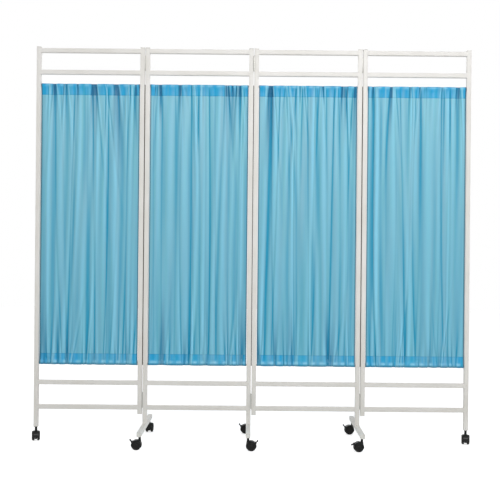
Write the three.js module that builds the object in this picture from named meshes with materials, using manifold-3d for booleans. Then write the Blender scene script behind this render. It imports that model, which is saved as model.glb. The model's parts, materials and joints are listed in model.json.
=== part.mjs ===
// A folding ward privacy screen on wheels: four tube panels with gathered curtains,
// hinged in a zigzag, on three cross feet and eight twin-wheel casters.
// Millimetres. X runs along the panels, Y from front to back and Z up.
// The floor is at zero, and the middle fold stands over the origin.

import * as THREE from 'three';
import { mergeVertices } from 'three/addons/utils/BufferGeometryUtils.js';
import Module from 'manifold-3d';

const wasm = await Module();
wasm.setup();

// Driving dimensions: the screen
const screenHeight = 1800;
const panelWidth = 494;
const panelGap = 4;
const footLength = 430;
const stemInset = 33;

// Driving dimensions: the square tube of posts, rails and feet
const tubeSize = 20;
const tubeWall = 1.2;
const tubeCorner = 1.5;

// Driving dimensions: the rails, as drops and clear bays between their faces
const topRailDrop = 6.5;
const upperBay = 79;
const lowestRailHeight = 143;
const lowerBay = 92;
const shortPostStub = 20;

// Driving dimensions: caps, plugs, vents and the drain
const capHeight = 3;
const capOverhang = 0.5;
const capStep = 1.5;
const plugDepth = 18;
const ventRadius = 4;
const drainRadius = 2;

// Driving dimensions: the curtains and their rods
const curtainTopGap = 42;
const curtainBottomGap = 71;
const curtainSideGap = 2;
const clothThickness = 1.3;
const hemHeight = 52;
const rodRadius = 4;
const rodClearance = 0.5;
const rodSeat = 6;
const foldDepth = 8.5;
const foldCount = 9;
const stepsPerFold = 4;

// How deep the folds are at a pocket's edge and at a hem's end, how far they wander
// sideways and how uneven they are, each as a share of a whole fold
const pocketFoldShare = 0.15;
const hemFoldShare = 0.9;
const foldWanderShare = 0.32;
const foldUnevenShare = 0.28;

// Driving dimensions: the butt hinges
const hingeLength = 68;
const hingeRise = 9;
const knuckleCount = 3;
const barrelRadius = 3.5;
const barrelClearance = 0.5;
const pinRadius = 1.8;
const pinClearance = 0.4;
const pinHeadRadius = 4.2;
const pinHeadHeight = 1.4;
const knuckleGap = 0.5;
const leafReach = 16;
const leafPlay = 0.6;

// Driving dimensions: the twin-wheel casters
const wheelRadius = 21;
const wheelWidth = 12.2;
const wheelSpacing = 12;
const treadClearance = 1.2;
const treadRound = 1.8;
const casterTrail = 14;
const hoodWall = 1.6;
const hoodSkirt = 4;
const webClearance = 0.6;
const webBottom = 10;
const neckRise = 12.7;
const neckRadius = 5.7;
const collarHeight = 4.5;
const collarRadius = 9.8;
const stemPinRadius = 3.6;
const stemSocket = 12;
const shankRadius = 4.7;
const shankLength = 15;
const shankTipShare = 0.75;
const nutRadius = 7.6;
const nutHeight = 8;
const axleRadius = 3;
const hubCapRadius = 7;
const rimRadius = 16;
const dishDepth = 2.2;

// Driving dimensions: the brake lever of a caster
const leverLength = 14;
const leverThickness = 4;
const leverWidth = 11;
const leverHubRadius = 2.5;
const leverPinRadius = 1.4;
const leverPivotRise = 1;
const earThickness = 2.6;
const earRadius = 4;

// Clearances and the overrun that every cut shares
const seatGap = 0.3;
const overrun = 3;

// Angles, in degrees
const leverPivotAngle = 35;
const leverRaised = 42;
const leverPressed = -28;
const outerTurn = 13;

// How many sides a round gets
const sides = { wheel: 16, hood: 16, pin: 8, ear: 6, rod: 8, knuckle: 8, vent: 6, nut: 6, stem: 8 };

const turn = 2 * Math.PI;
const right = Math.PI / 2;
const radians = THREE.MathUtils.degToRad;

// Heights that follow from the driving dimensions
const casterHeight = 2 * wheelRadius + treadClearance + hoodWall + neckRise + collarHeight;
const footTop = casterHeight + tubeSize;
const rails = {
    top: screenHeight - topRailDrop - tubeSize / 2,
    second: screenHeight - topRailDrop - tubeSize - upperBay - tubeSize / 2,
    third: lowestRailHeight + tubeSize + lowerBay + tubeSize / 2,
    lowest: lowestRailHeight + tubeSize / 2,
};
const pocketHalf = rodRadius + rodClearance + clothThickness;
const rodTop = rails.second - tubeSize / 2 - curtainTopGap - pocketHalf;
const rodBottom = rails.third + tubeSize / 2 + curtainBottomGap + pocketHalf;
const windowWidth = panelWidth - 2 * tubeSize;
const panelPitch = panelWidth + panelGap;
const pinOffset = tubeSize / 2 + barrelRadius + barrelClearance;

// Finishes
const finish = {
    steel: new THREE.MeshStandardMaterial({ color: 0xdcdad5, roughness: 0.42, metalness: 0.1 }),
    zinc: new THREE.MeshStandardMaterial({ color: 0x9d9c98, roughness: 0.38, metalness: 0.9 }),
    nylon: new THREE.MeshStandardMaterial({ color: 0x1b1b1a, roughness: 0.5, metalness: 0 }),
    tread: new THREE.MeshStandardMaterial({ color: 0x232322, roughness: 0.62, metalness: 0 }),
    cloth: new THREE.MeshStandardMaterial({ color: 0x74b9d6, roughness: 0.85, metalness: 0 }),
};

const screen = new THREE.Group();

// Joining and cutting

function solid(geometry) {
    const bare = geometry.clone();
    bare.deleteAttribute('normal');
    bare.deleteAttribute('uv');
    const merged = mergeVertices(bare);
    const corner = merged.index.array;
    const kept = [];
    for (let i = 0; i < corner.length; i += 3) {
        const [a, b, c] = corner.slice(i, i + 3);
        if (a !== b && b !== c && c !== a) kept.push(a, b, c);
    }
    const vertProperties = new Float32Array(merged.attributes.position.array);
    const triVerts = new Uint32Array(kept);
    return new wasm.Manifold(new wasm.Mesh({ numProp: 3, vertProperties, triVerts }));
}

function join(...parts) {
    return parts.reduce((whole, part) => whole.add(part));
}

function cut(body, ...tools) {
    return tools.reduce((whole, tool) => whole.subtract(tool), body);
}

function meshOf(name, body, material) {
    const { vertProperties, triVerts } = body.getMesh();
    const geometry = new THREE.BufferGeometry();
    geometry.setAttribute('position', new THREE.BufferAttribute(new Float32Array(vertProperties), 3));
    geometry.setIndex(new THREE.BufferAttribute(new Uint32Array(triVerts), 1));
    geometry.computeVertexNormals();
    const mesh = new THREE.Mesh(geometry, material);
    mesh.name = name;
    return mesh;
}

// Basic forms, each a closed solid

function extruded(shape, from, to) {
    const options = { depth: to - from, bevelEnabled: false };
    return new THREE.ExtrudeGeometry(shape, options).translate(0, 0, from);
}

function alongX(geometry) {
    return geometry.rotateY(right);
}

function alongY(geometry) {
    return geometry.rotateX(-right);
}

function box(low, high) {
    const size = high.map((value, axis) => value - low[axis]);
    const middle = high.map((value, axis) => (value + low[axis]) / 2);
    return solid(new THREE.BoxGeometry(...size).translate(...middle));
}

function rod(radius, from, to, sideCount) {
    const profile = [[0, from], [radius, from], [radius, to], [0, to]];
    return revolved(profile, sideCount);
}

// A profile of [radius, height] pairs turned round the Z axis.
function revolved(profile, sideCount) {
    const points = profile.map(([radius, height]) => new THREE.Vector2(radius, height));
    return new THREE.LatheGeometry(points, sideCount).rotateX(right);
}

// A square outline with its corners taken off.
function tubeOutline(size, corner) {
    const half = size / 2;
    const inner = half - corner;
    const points = [
        [inner, -half], [half, -inner], [half, inner], [inner, half],
        [-inner, half], [-half, inner], [-half, -inner], [-inner, -half],
    ];
    return new THREE.Shape(points.map(([x, y]) => new THREE.Vector2(x, y)));
}

// The panel frames: two posts and four rails welded together.
// Every tube is hollow, and vents drilled under the rail ends drain one into the next.

function tubeAlongZ(x, from, to) {
    return solid(extruded(tubeOutline(tubeSize, tubeCorner), from, to).translate(x, 0, 0));
}

function boreAlongZ(x, from, to) {
    const half = tubeSize / 2 - tubeWall;
    return box([x - half, -half, from], [x + half, half, to]);
}

function railAlongX(height) {
    const reach = windowWidth / 2 + tubeCorner;
    const tube = alongX(extruded(tubeOutline(tubeSize, tubeCorner), -reach, reach));
    return solid(tube.translate(0, 0, height));
}

function railBore(height) {
    const half = tubeSize / 2 - tubeWall;
    const reach = windowWidth / 2;
    return box([-reach, -half, height - half], [reach, half, height + half]);
}

// A hole through the inner wall of one post, or of both: side is -1, 1 or 0.
function crossHole(radius, height, sideCount, side) {
    const reach = windowWidth / 2 + tubeWall + seatGap;
    const [from, to] = [side > 0 ? 0 : -reach, side < 0 ? 0 : reach];
    return solid(alongX(rod(radius, from, to, sideCount)).translate(0, 0, height));
}

// A plastic end cap: a plate a little wider than the tube, and a smaller step beyond it.
function endCap(x, height, direction) {
    const wide = tubeSize / 2 + capOverhang;
    const narrow = wide - capStep;
    const inside = height - direction * capHeight;
    const edge = height - direction * (capHeight / 3);
    const [low, high] = [Math.min(inside, edge), Math.max(inside, edge)];
    const [tipLow, tipHigh] = [Math.min(inside, height), Math.max(inside, height)];
    return join(
        box([x - wide, -wide, low], [x + wide, wide, high]),
        box([x - narrow, -narrow, tipLow], [x + narrow, narrow, tipHigh]),
    );
}

const postEnds = {
    // stands on a caster of its own, whose shank sits in a plug
    outer: { bottom: casterHeight, closed: plugDepth, hole: shankRadius + seatGap, capped: false },
    // ends in the air below the lowest rail, in a cap with a drain
    short: { bottom: lowestRailHeight - shortPostStub, closed: capHeight, hole: drainRadius, capped: true },
    // is welded onto a cross foot
    footed: { bottom: footTop + seatGap, closed: 0, hole: 0, capped: false },
};

function panelFrame(name, endNames) {
    const shoulder = screenHeight - capHeight;
    const outside = [];
    const inside = [];
    endNames.forEach((endName, index) => {
        const end = postEnds[endName];
        const x = (index === 0 ? -1 : 1) * (panelWidth - tubeSize) / 2;
        const start = end.capped ? end.bottom + capHeight : end.bottom;
        outside.push(tubeAlongZ(x, start, shoulder));
        outside.push(endCap(x, screenHeight, 1));
        if (end.capped) outside.push(endCap(x, end.bottom, -1));
        const floor = end.closed > 0 ? end.bottom + end.closed : end.bottom - overrun;
        inside.push(boreAlongZ(x, floor, shoulder - tubeWall));
        if (end.hole > 0) {
            const hole = rod(end.hole, end.bottom - overrun, floor + tubeWall, sides.stem);
            inside.push(solid(hole.translate(x, 0, 0)));
        }
    });
    for (const height of Object.values(rails)) {
        outside.push(railAlongX(height));
        inside.push(railBore(height));
        inside.push(crossHole(ventRadius, height, sides.vent, -1));
    }
    for (const height of [rodTop, rodBottom]) {
        inside.push(crossHole(rodRadius + seatGap, height, sides.rod, 0));
    }
    return meshOf(name, cut(join(...outside), join(...inside)), finish.steel);
}

// A curtain rod, its ends resting in the holes of the two posts.
function curtainRod(name, height) {
    const reach = windowWidth / 2 + rodSeat;
    const mesh = meshOf(name, solid(alongX(rod(rodRadius, -reach, reach, sides.rod))), finish.zinc);
    mesh.position.z = height;
    return mesh;
}

// A gathered curtain: a sheet in upright folds, with a pocket along its top and bottom
// edge for a rod, and the cloth thins out towards the end of each hem.
// Each row is [height, share of the fold depth, half of the thickness there].
const pocketEdge = pocketHalf - 2 * clothThickness;
const lowerRows = [
    [rodBottom - pocketHalf, 0, pocketEdge],
    [rodBottom, 0, pocketHalf],
    [rodBottom + pocketHalf, pocketFoldShare, pocketEdge],
    [rodBottom + hemHeight, hemFoldShare, clothThickness / 2],
];
const upperRows = [
    [rodTop - hemHeight, hemFoldShare, clothThickness / 2],
    [rodTop - pocketHalf, pocketFoldShare, pocketEdge],
    [rodTop, 0, pocketHalf],
    [rodTop + pocketHalf, 0, pocketEdge],
];
const curtainRows = [...lowerRows, ...upperRows];

// The folds stand at uneven spacing: a sine whose phase wanders along the width,
// and its depth changes from fold to fold. The shift, a share of the width,
// moves that pattern sideways, so no two curtains hang alike.
function foldAt(across, shiftShare) {
    const wander = foldWanderShare * Math.sin(turn * (across + shiftShare)) * turn;
    const phase = turn * foldCount * across + wander;
    const uneven = 1 - foldUnevenShare * (1 + Math.sin(phase / 2 + turn * shiftShare));
    return Math.sin(phase) * uneven;
}

function curtainSheet(shiftShare) {
    const width = windowWidth - 2 * curtainSideGap;
    const columns = foldCount * stepsPerFold;
    const rows = curtainRows.length;
    const places = [];
    for (const face of [-1, 1]) {
        for (const [height, depthShare, half] of curtainRows) {
            for (let i = 0; i <= columns; i += 1) {
                const across = i / columns;
                const y = foldDepth * depthShare * foldAt(across, shiftShare) + face * half;
                places.push(width * across - width / 2, y, height);
            }
        }
    }
    const at = (face, row, i) => (face * rows + row) * (columns + 1) + i;
    const faces = [];
    const quad = (a, b, c, d) => faces.push(a, b, c, a, c, d);
    for (let row = 0; row < rows - 1; row += 1) {
        for (let i = 0; i < columns; i += 1) {
            quad(at(0, row, i), at(0, row, i + 1), at(0, row + 1, i + 1), at(0, row + 1, i));
            quad(at(1, row, i + 1), at(1, row, i), at(1, row + 1, i), at(1, row + 1, i + 1));
        }
        quad(at(1, row, 0), at(0, row, 0), at(0, row + 1, 0), at(1, row + 1, 0));
        quad(at(0, row, columns), at(1, row, columns), at(1, row + 1, columns), at(0, row + 1, columns));
    }
    for (let i = 0; i < columns; i += 1) {
        quad(at(0, 0, i + 1), at(0, 0, i), at(1, 0, i), at(1, 0, i + 1));
        quad(at(0, rows - 1, i), at(0, rows - 1, i + 1), at(1, rows - 1, i + 1), at(1, rows - 1, i));
    }
    const geometry = new THREE.BufferGeometry();
    geometry.setAttribute('position', new THREE.BufferAttribute(new Float32Array(places), 3));
    geometry.setIndex(faces);
    return solid(geometry);
}

function curtain(name, shiftShare) {
    const reach = windowWidth / 2 + overrun;
    const bores = [rodTop, rodBottom].map((height) => {
        const bore = alongX(rod(rodRadius + rodClearance, -reach, reach, sides.rod));
        return solid(bore.translate(0, 0, height));
    });
    return meshOf(name, cut(curtainSheet(shiftShare), ...bores), finish.cloth);
}

// A cross foot: a length of tube along Y with a plug in each end.
// A nut inside, over each stem hole, takes the shank of a caster.
function crossFoot(name) {
    const half = tubeSize / 2;
    const middle = casterHeight + half;
    const tubeEnd = footLength / 2 - capHeight;
    const tube = alongY(extruded(tubeOutline(tubeSize, tubeCorner), -tubeEnd, tubeEnd));
    const plug = tubeOutline(tubeSize + capOverhang, tubeCorner);
    const bore = half - tubeWall;
    const boreEnd = tubeEnd - plugDepth;
    const nutBottom = casterHeight + tubeWall / 2;
    const nutTop = casterHeight + tubeWall + nutHeight;
    let body = solid(tube.translate(0, 0, middle));
    body = cut(body, box([-bore, -boreEnd, middle - bore], [bore, boreEnd, middle + bore]));
    for (const side of [-1, 1]) {
        const [near, far] = side < 0 ? [-footLength / 2, -tubeEnd] : [tubeEnd, footLength / 2];
        body = join(body, solid(alongY(extruded(plug, near, far)).translate(0, 0, middle)));
        const y = side * (footLength / 2 - stemInset);
        const nut = rod(nutRadius, nutBottom, nutTop, sides.nut);
        const hole = rod(shankRadius + seatGap, casterHeight - overrun, footTop - 2 * tubeWall, sides.stem);
        body = cut(join(body, solid(nut.translate(0, y, 0))), solid(hole.translate(0, y, 0)));
    }
    return meshOf(name, body, finish.steel);
}

// A butt hinge stands in the gap between two posts, its barrel behind or before them.
// The leaves are interleaved: the outer knuckles carry the pin, and the middle one turns on it.

const leafThickness = (panelGap - 2 * seatGap - leafPlay) / 2;
const knucklePitch = hingeLength / knuckleCount;

function barrelPiece(radius, from, to) {
    return solid(rod(radius, from, to, sides.knuckle).translate(0, pinOffset, 0));
}

// One leaf on the side of the gap that side gives: -1 for -X and 1 for +X.
function hingeLeaf(side, hasPin) {
    const near = side * leafPlay / 2;
    const far = side * (leafPlay / 2 + leafThickness);
    const [low, high] = [Math.min(near, far), Math.max(near, far)];
    const back = pinOffset - barrelRadius - barrelClearance;
    const plateStart = back - leafReach;
    let leaf = box([low, plateStart, -hingeLength / 2], [high, back, hingeLength / 2]);
    for (let i = 0; i < knuckleCount; i += 1) {
        const isPinned = i % 2 === 0;
        if (isPinned !== hasPin) continue;
        const from = -hingeLength / 2 + i * knucklePitch + knuckleGap / 2;
        const to = from + knucklePitch - knuckleGap;
        const neck = box([low, back - leafReach / 2, from], [high, pinOffset - pinRadius, to]);
        leaf = join(leaf, neck, barrelPiece(barrelRadius, from, to));
    }
    if (hasPin) {
        const end = hingeLength / 2;
        const head = barrelPiece(pinHeadRadius, end, end + pinHeadHeight);
        return join(leaf, barrelPiece(pinRadius, -end, end + pinHeadHeight), head);
    }
    return cut(leaf, barrelPiece(pinRadius + pinClearance, -hingeLength, hingeLength));
}

// pinSide is 1 for a barrel behind the posts and -1 for one before them.
function hinge(name, x, height, pinSide, pinnedSide) {
    const group = new THREE.Group();
    const pinned = hingeLeaf(pinnedSide * pinSide, true);
    const free = hingeLeaf(-pinnedSide * pinSide, false);
    group.add(meshOf(name + '_pin_leaf', pinned, finish.zinc));
    group.add(meshOf(name + '_free_leaf', free, finish.zinc));
    group.position.set(x, 0, height);
    if (pinSide < 0) group.rotation.z = Math.PI;
    return group;
}

// The casters. Each is drawn over the origin, trailing along +X.

const hoodRadius = wheelRadius + treadClearance + hoodWall;
const halfWidth = wheelSpacing / 2 + wheelWidth;
const webHalf = wheelSpacing / 2 - webClearance;
const neckTop = casterHeight - collarHeight;
const socketBottom = neckTop - stemSocket;
const pivotRadius = hoodRadius + leverPivotRise;
const pivotX = casterTrail + pivotRadius * Math.cos(radians(leverPivotAngle));
const pivotZ = wheelRadius + pivotRadius * Math.sin(radians(leverPivotAngle));

// A cylinder along Y between two distances from the caster's middle plane.
function crossDisc(radius, from, to, sideCount, x, z) {
    return solid(alongY(rod(radius, from, to, sideCount)).translate(x, 0, z));
}

function stem() {
    const seat = casterHeight - seatGap;
    const low = neckTop + seatGap;
    const shankTop = casterHeight + shankLength;
    const profile = [
        [0, socketBottom + seatGap],
        [stemPinRadius, socketBottom + seatGap],
        [stemPinRadius, low],
        [neckRadius, low],
        [collarRadius, seat - collarHeight / 3],
        [collarRadius, seat],
        [shankRadius, seat],
        [shankRadius, shankTop - shankRadius / 3],
        [shankRadius * shankTipShare, shankTop],
        [0, shankTop],
    ];
    return solid(revolved(profile, sides.stem));
}

// The hood: a web between the wheels, a cover over their treads and a neck for the stem.
function hood(hasBrake) {
    const cover = crossDisc(hoodRadius, -halfWidth, halfWidth, sides.hood, casterTrail, wheelRadius);
    const neck = solid(rod(neckRadius, wheelRadius, neckTop, sides.stem));
    let body = join(cover, neck);
    const well = wheelRadius + treadClearance;
    const far = casterTrail + 2 * hoodRadius;
    for (const [from, to] of [[webHalf, halfWidth + overrun], [-halfWidth - overrun, -webHalf]]) {
        body = cut(body, crossDisc(well, from, to, sides.hood, casterTrail, wheelRadius));
        body = cut(body, box([-far, from, -overrun], [far, to, wheelRadius - hoodSkirt]));
    }
    body = cut(body, box([-far, -halfWidth, -overrun], [far, halfWidth, webBottom]));
    const axleHole = axleRadius + seatGap;
    body = cut(body, crossDisc(axleHole, -halfWidth, halfWidth, sides.pin, casterTrail, wheelRadius));
    body = cut(body, solid(rod(stemPinRadius + seatGap, socketBottom, neckTop + overrun, sides.stem)));
    if (!hasBrake) return body;
    const earGap = leverWidth / 2 + seatGap;
    const inward = leverHubRadius + leverPivotRise;
    const rootX = pivotX - inward * Math.cos(radians(leverPivotAngle));
    const rootZ = pivotZ - inward * Math.sin(radians(leverPivotAngle));
    for (const side of [-1, 1]) {
        const [from, to] = [side * earGap, side * (earGap + earThickness)].sort((a, b) => a - b);
        const tip = crossDisc(earRadius, from, to, sides.ear, pivotX, pivotZ);
        const root = crossDisc(earRadius, from, to, sides.ear, rootX, rootZ);
        const wheelRoom = crossDisc(
            well, from - overrun, to + overrun, sides.hood, casterTrail, wheelRadius,
        );
        body = join(body, cut(join(tip, root), wheelRoom));
    }
    const room = leverHubRadius + 2 * seatGap;
    body = cut(body, crossDisc(room, -earGap, earGap, sides.pin, pivotX, pivotZ));
    const reach = earGap + earThickness + overrun;
    return cut(body, crossDisc(leverPinRadius + seatGap, -reach, reach, sides.pin, pivotX, pivotZ));
}

// Two dished wheels on one axle, as one turned piece.
function wheelPair() {
    const inner = wheelSpacing / 2;
    const face = halfWidth - dishDepth / 3;
    const dish = halfWidth - dishDepth;
    const oneSide = [
        [0, face],
        [hubCapRadius, face],
        [hubCapRadius + dishDepth / 2, dish],
        [rimRadius, dish],
        [wheelRadius - treadRound, halfWidth],
        [wheelRadius, halfWidth - treadRound],
        [wheelRadius, inner],
        [axleRadius, inner],
    ];
    const otherSide = oneSide.map(([radius, y]) => [radius, -y]);
    const profile = otherSide.concat(oneSide.reverse());
    const points = profile.map(([radius, y]) => new THREE.Vector2(radius, y));
    return solid(new THREE.LatheGeometry(points, sides.wheel));
}

// The brake lever lies along +X from its pin, and its tip has a raised lip.
function brakeLever() {
    const half = leverThickness / 2;
    const lip = leverThickness;
    const shape = new THREE.Shape();
    shape.moveTo(0, -half);
    shape.lineTo(leverLength, -half);
    shape.lineTo(leverLength, half + lip / 2);
    shape.lineTo(leverLength - lip, half + lip / 2);
    shape.lineTo(leverLength - 2 * lip, half);
    shape.lineTo(0, half);
    shape.closePath();
    const tab = extruded(shape, -leverWidth / 2, leverWidth / 2).rotateX(right);
    const pinReach = leverWidth / 2 + earThickness;
    const hub = alongY(rod(leverHubRadius, -leverWidth / 2, leverWidth / 2, sides.pin));
    const pin = alongY(rod(leverPinRadius, -pinReach, pinReach, sides.pin));
    return join(solid(tab), solid(hub), solid(pin));
}

function caster(name, x, y, heading, leverAngle) {
    const group = new THREE.Group();
    group.position.set(x, y, 0);
    group.add(meshOf(name + '_stem', stem(), finish.zinc));
    const swivel = new THREE.Group();
    swivel.rotation.z = radians(heading);
    const hasBrake = leverAngle !== null;
    swivel.add(meshOf(name + '_hood', hood(hasBrake), finish.nylon));
    const wheels = meshOf(name + '_wheels', wheelPair(), finish.tread);
    wheels.position.set(casterTrail, 0, wheelRadius);
    swivel.add(wheels);
    if (hasBrake) {
        const lever = meshOf(name + '_brake', brakeLever(), finish.nylon);
        lever.position.set(pivotX, 0, pivotZ);
        lever.rotation.y = -radians(leverAngle);
        swivel.add(lever);
    }
    group.add(swivel);
    return group;
}

// Assembly: panels from left to right, each with the ends of its two posts
// and the share of its width by which its folds are shifted

const panels = [
    { ends: ['outer', 'short'], shiftShare: 0.07 },
    { ends: ['footed', 'footed'], shiftShare: 0.31 },
    { ends: ['short', 'footed'], shiftShare: 0.58 },
    { ends: ['short', 'outer'], shiftShare: 0.83 },
];
const panelMiddle = (index) => (index - (panels.length - 1) / 2) * panelPitch;

panels.forEach(({ ends, shiftShare }, index) => {
    const number = index + 1;
    const panel = new THREE.Group();
    panel.position.x = panelMiddle(index);
    panel.add(panelFrame('frame_' + number, ends));
    panel.add(curtainRod('rod_top_' + number, rodTop));
    panel.add(curtainRod('rod_bottom_' + number, rodBottom));
    panel.add(curtain('curtain_' + number, shiftShare));
    screen.add(panel);
});

// Feet under the second panel's two posts and the third panel's right post
const postReach = (panelWidth - tubeSize) / 2;
const feet = {
    left: panelMiddle(1) - postReach,
    middle: panelMiddle(1) + postReach,
    right: panelMiddle(2) + postReach,
};
for (const [place, x] of Object.entries(feet)) {
    const foot = crossFoot('foot_' + place);
    foot.position.x = x;
    screen.add(foot);
}

// Two hinges to each fold: one above the lowest rail and one below the top rail.
// The barrels stand behind, before and behind the posts in turn, which gives the zigzag.
const hingeHeights = {
    lower: rails.lowest + hingeRise - tubeSize / 2 + hingeLength / 2,
    upper: rails.top - tubeSize / 2 - hingeRise - hingeLength / 2,
};
const folds = [
    { name: 'left', x: -panelPitch, pinSide: 1, pinnedSide: 1 },
    { name: 'middle', x: 0, pinSide: -1, pinnedSide: -1 },
    { name: 'right', x: panelPitch, pinSide: 1, pinnedSide: -1 },
];
for (const fold of folds) {
    for (const [level, height] of Object.entries(hingeHeights)) {
        const name = 'hinge_' + fold.name + '_' + level;
        screen.add(hinge(name, fold.x, height, fold.pinSide, fold.pinnedSide));
    }
}

// Each caster: its place, the way it trails in degrees, and its lever's angle if it has a brake.
// The two outer casters are turned in a little towards the middle.
const stemReach = footLength / 2 - stemInset;
const outerX = panelMiddle(panels.length - 1) + postReach;
const casters = [
    ['caster_outer_left', -outerX, 0, outerTurn - 90, null],
    ['caster_left_front', feet.left, -stemReach, 180, leverRaised],
    ['caster_left_rear', feet.left, stemReach, 90, null],
    ['caster_middle_front', feet.middle, -stemReach, 0, leverRaised],
    ['caster_middle_rear', feet.middle, stemReach, 180, leverRaised],
    ['caster_right_front', feet.right, -stemReach, 180, leverPressed],
    ['caster_right_rear', feet.right, stemReach, 180, leverRaised],
    ['caster_outer_right', outerX, 0, -90 - outerTurn, null],
];
for (const [name, x, y, heading, leverAngle] of casters) {
    screen.add(caster(name, x, y, heading, leverAngle));
}

export default screen;
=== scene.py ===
"""The looks of a four-panel ward privacy screen on casters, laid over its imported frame."""

import json
import math

import bmesh
import bpy
import numpy as np
from bpy.props import FloatProperty, FloatVectorProperty, IntProperty, PointerProperty
from mathutils import Matrix, Vector

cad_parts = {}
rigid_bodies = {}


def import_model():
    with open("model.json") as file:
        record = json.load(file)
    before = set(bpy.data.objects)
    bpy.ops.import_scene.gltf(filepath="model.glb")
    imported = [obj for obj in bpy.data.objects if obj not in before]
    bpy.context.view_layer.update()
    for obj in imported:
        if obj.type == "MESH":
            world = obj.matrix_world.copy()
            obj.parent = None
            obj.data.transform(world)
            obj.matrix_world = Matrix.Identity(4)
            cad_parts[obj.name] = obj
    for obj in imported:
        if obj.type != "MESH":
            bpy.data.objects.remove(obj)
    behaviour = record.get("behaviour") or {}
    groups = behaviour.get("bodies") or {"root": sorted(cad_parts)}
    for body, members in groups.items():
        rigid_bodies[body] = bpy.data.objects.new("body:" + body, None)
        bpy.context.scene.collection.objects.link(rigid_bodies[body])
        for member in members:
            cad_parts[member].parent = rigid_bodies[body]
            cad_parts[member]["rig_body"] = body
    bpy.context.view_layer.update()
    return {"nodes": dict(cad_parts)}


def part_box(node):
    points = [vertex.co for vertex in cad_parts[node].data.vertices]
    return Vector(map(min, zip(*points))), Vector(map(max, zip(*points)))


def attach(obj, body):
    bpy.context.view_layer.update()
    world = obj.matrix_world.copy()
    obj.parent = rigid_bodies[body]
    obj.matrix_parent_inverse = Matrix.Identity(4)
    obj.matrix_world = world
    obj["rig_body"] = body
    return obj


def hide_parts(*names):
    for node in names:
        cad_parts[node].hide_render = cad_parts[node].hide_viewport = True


bl_info = {
    "name": "Ward Privacy Screen",
    "version": (1, 0, 0),
    "blender": (4, 5, 0),
    "location": "View3D > Sidebar > Ward Screen",
    "description": "Builds the curtains, tubes, hinges and casters of a folding ward screen over its frame",
    "category": "Add Mesh",
}

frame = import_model()

TURN = 2 * np.pi
PANELS = (1, 2, 3, 4)
FEET = ("left", "middle", "right")
CASTERS = (
    "outer_left", "left_front", "left_rear", "middle_front",
    "middle_rear", "right_front", "right_rear", "outer_right",
)
# How far each brake lever is turned up from level, in degrees
LEVERS = {"left_front": 42, "middle_front": 42, "middle_rear": 42, "right_front": -28, "right_rear": 42}
# Each fold: the side its barrels stand on, 1 for behind, and the side of the leaf with the pin, 1 for right
FOLDS = {"left": (1, 1), "middle": (-1, -1), "right": (1, -1)}
# What the two posts of each panel end in below: a caster, a cap or a cross foot
POST_ENDS = {1: ("caster", "cap"), 2: ("foot", "foot"), 3: ("cap", "foot"), 4: ("cap", "caster")}
# Heights over the floor, in metres: the middles of a panel's four rails, and the lower end of a capped post
RAIL_HEIGHTS = (1.7835, 1.6845, 0.265, 0.153)
CAPPED_END = 0.123
# How far the gathered cloth stands over the top of its rod, in metres
CLOTH_OVER_ROD = 0.0018
# The way along and up from a caster's axle to the pin of its brake lever, 35 degrees over level
PIN_WAY = np.array([math.cos(math.radians(35)), math.sin(math.radians(35))])


def linear(*display):
    """A display colour of 0 to 255 as linear light: ((c + 0.055) / 1.055) to the power 2.4 above the toe."""
    share = np.array(display) / 255
    return tuple(float(c) for c in np.where(share > 0.04045, ((share + 0.055) / 1.055) ** 2.4, share / 12.92))


def middle_of(node):
    """The middle of a CAD node's box, as an array."""
    low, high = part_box(node)
    return (np.array(low) + np.array(high)) / 2


def extent_of(node):
    """The lengths of a CAD node's box along X, Y and Z."""
    low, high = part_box(node)
    return np.array(high) - np.array(low)


def body_with(node):
    """The name of the CAD body that carries a node."""
    return frame["nodes"][node]["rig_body"]


# Settings


def length(name, description, default):
    texts = {"name": name, "description": description}
    return FloatProperty(**texts, default=default, unit="LENGTH", min=0.0, precision=5)


def colour(name, description, default):
    texts = {"name": name, "description": description}
    return FloatVectorProperty(**texts, default=default, subtype="COLOR", size=3, min=0, max=1)


def power(name, description, default):
    return FloatProperty(name=name, description=description, default=default, unit="POWER", min=0)


class TubeSettings(bpy.types.PropertyGroup):
    size: length("Tube size", "Outside width of the square tube", 0.020)
    corner: length("Corner", "Outside corner radius of the tube", 0.0018)
    cap_overhang: length("Cap overhang", "How far a cap stands out past the tube", 0.0005)
    cap_height: length("Cap height", "Height of a cap above the end of the tube", 0.003)
    bead: length("Weld bead", "Half width of a weld bead", 0.0014)
    ripple: length("Weld ripple", "Distance from one ripple of a bead to the next", 0.0019)
    paint: colour("Powder coat", "Colour of the powder coat", linear(226, 224, 220))
    plastic: colour("Caps", "Colour of the plastic caps and plugs", linear(214, 212, 206))


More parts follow.
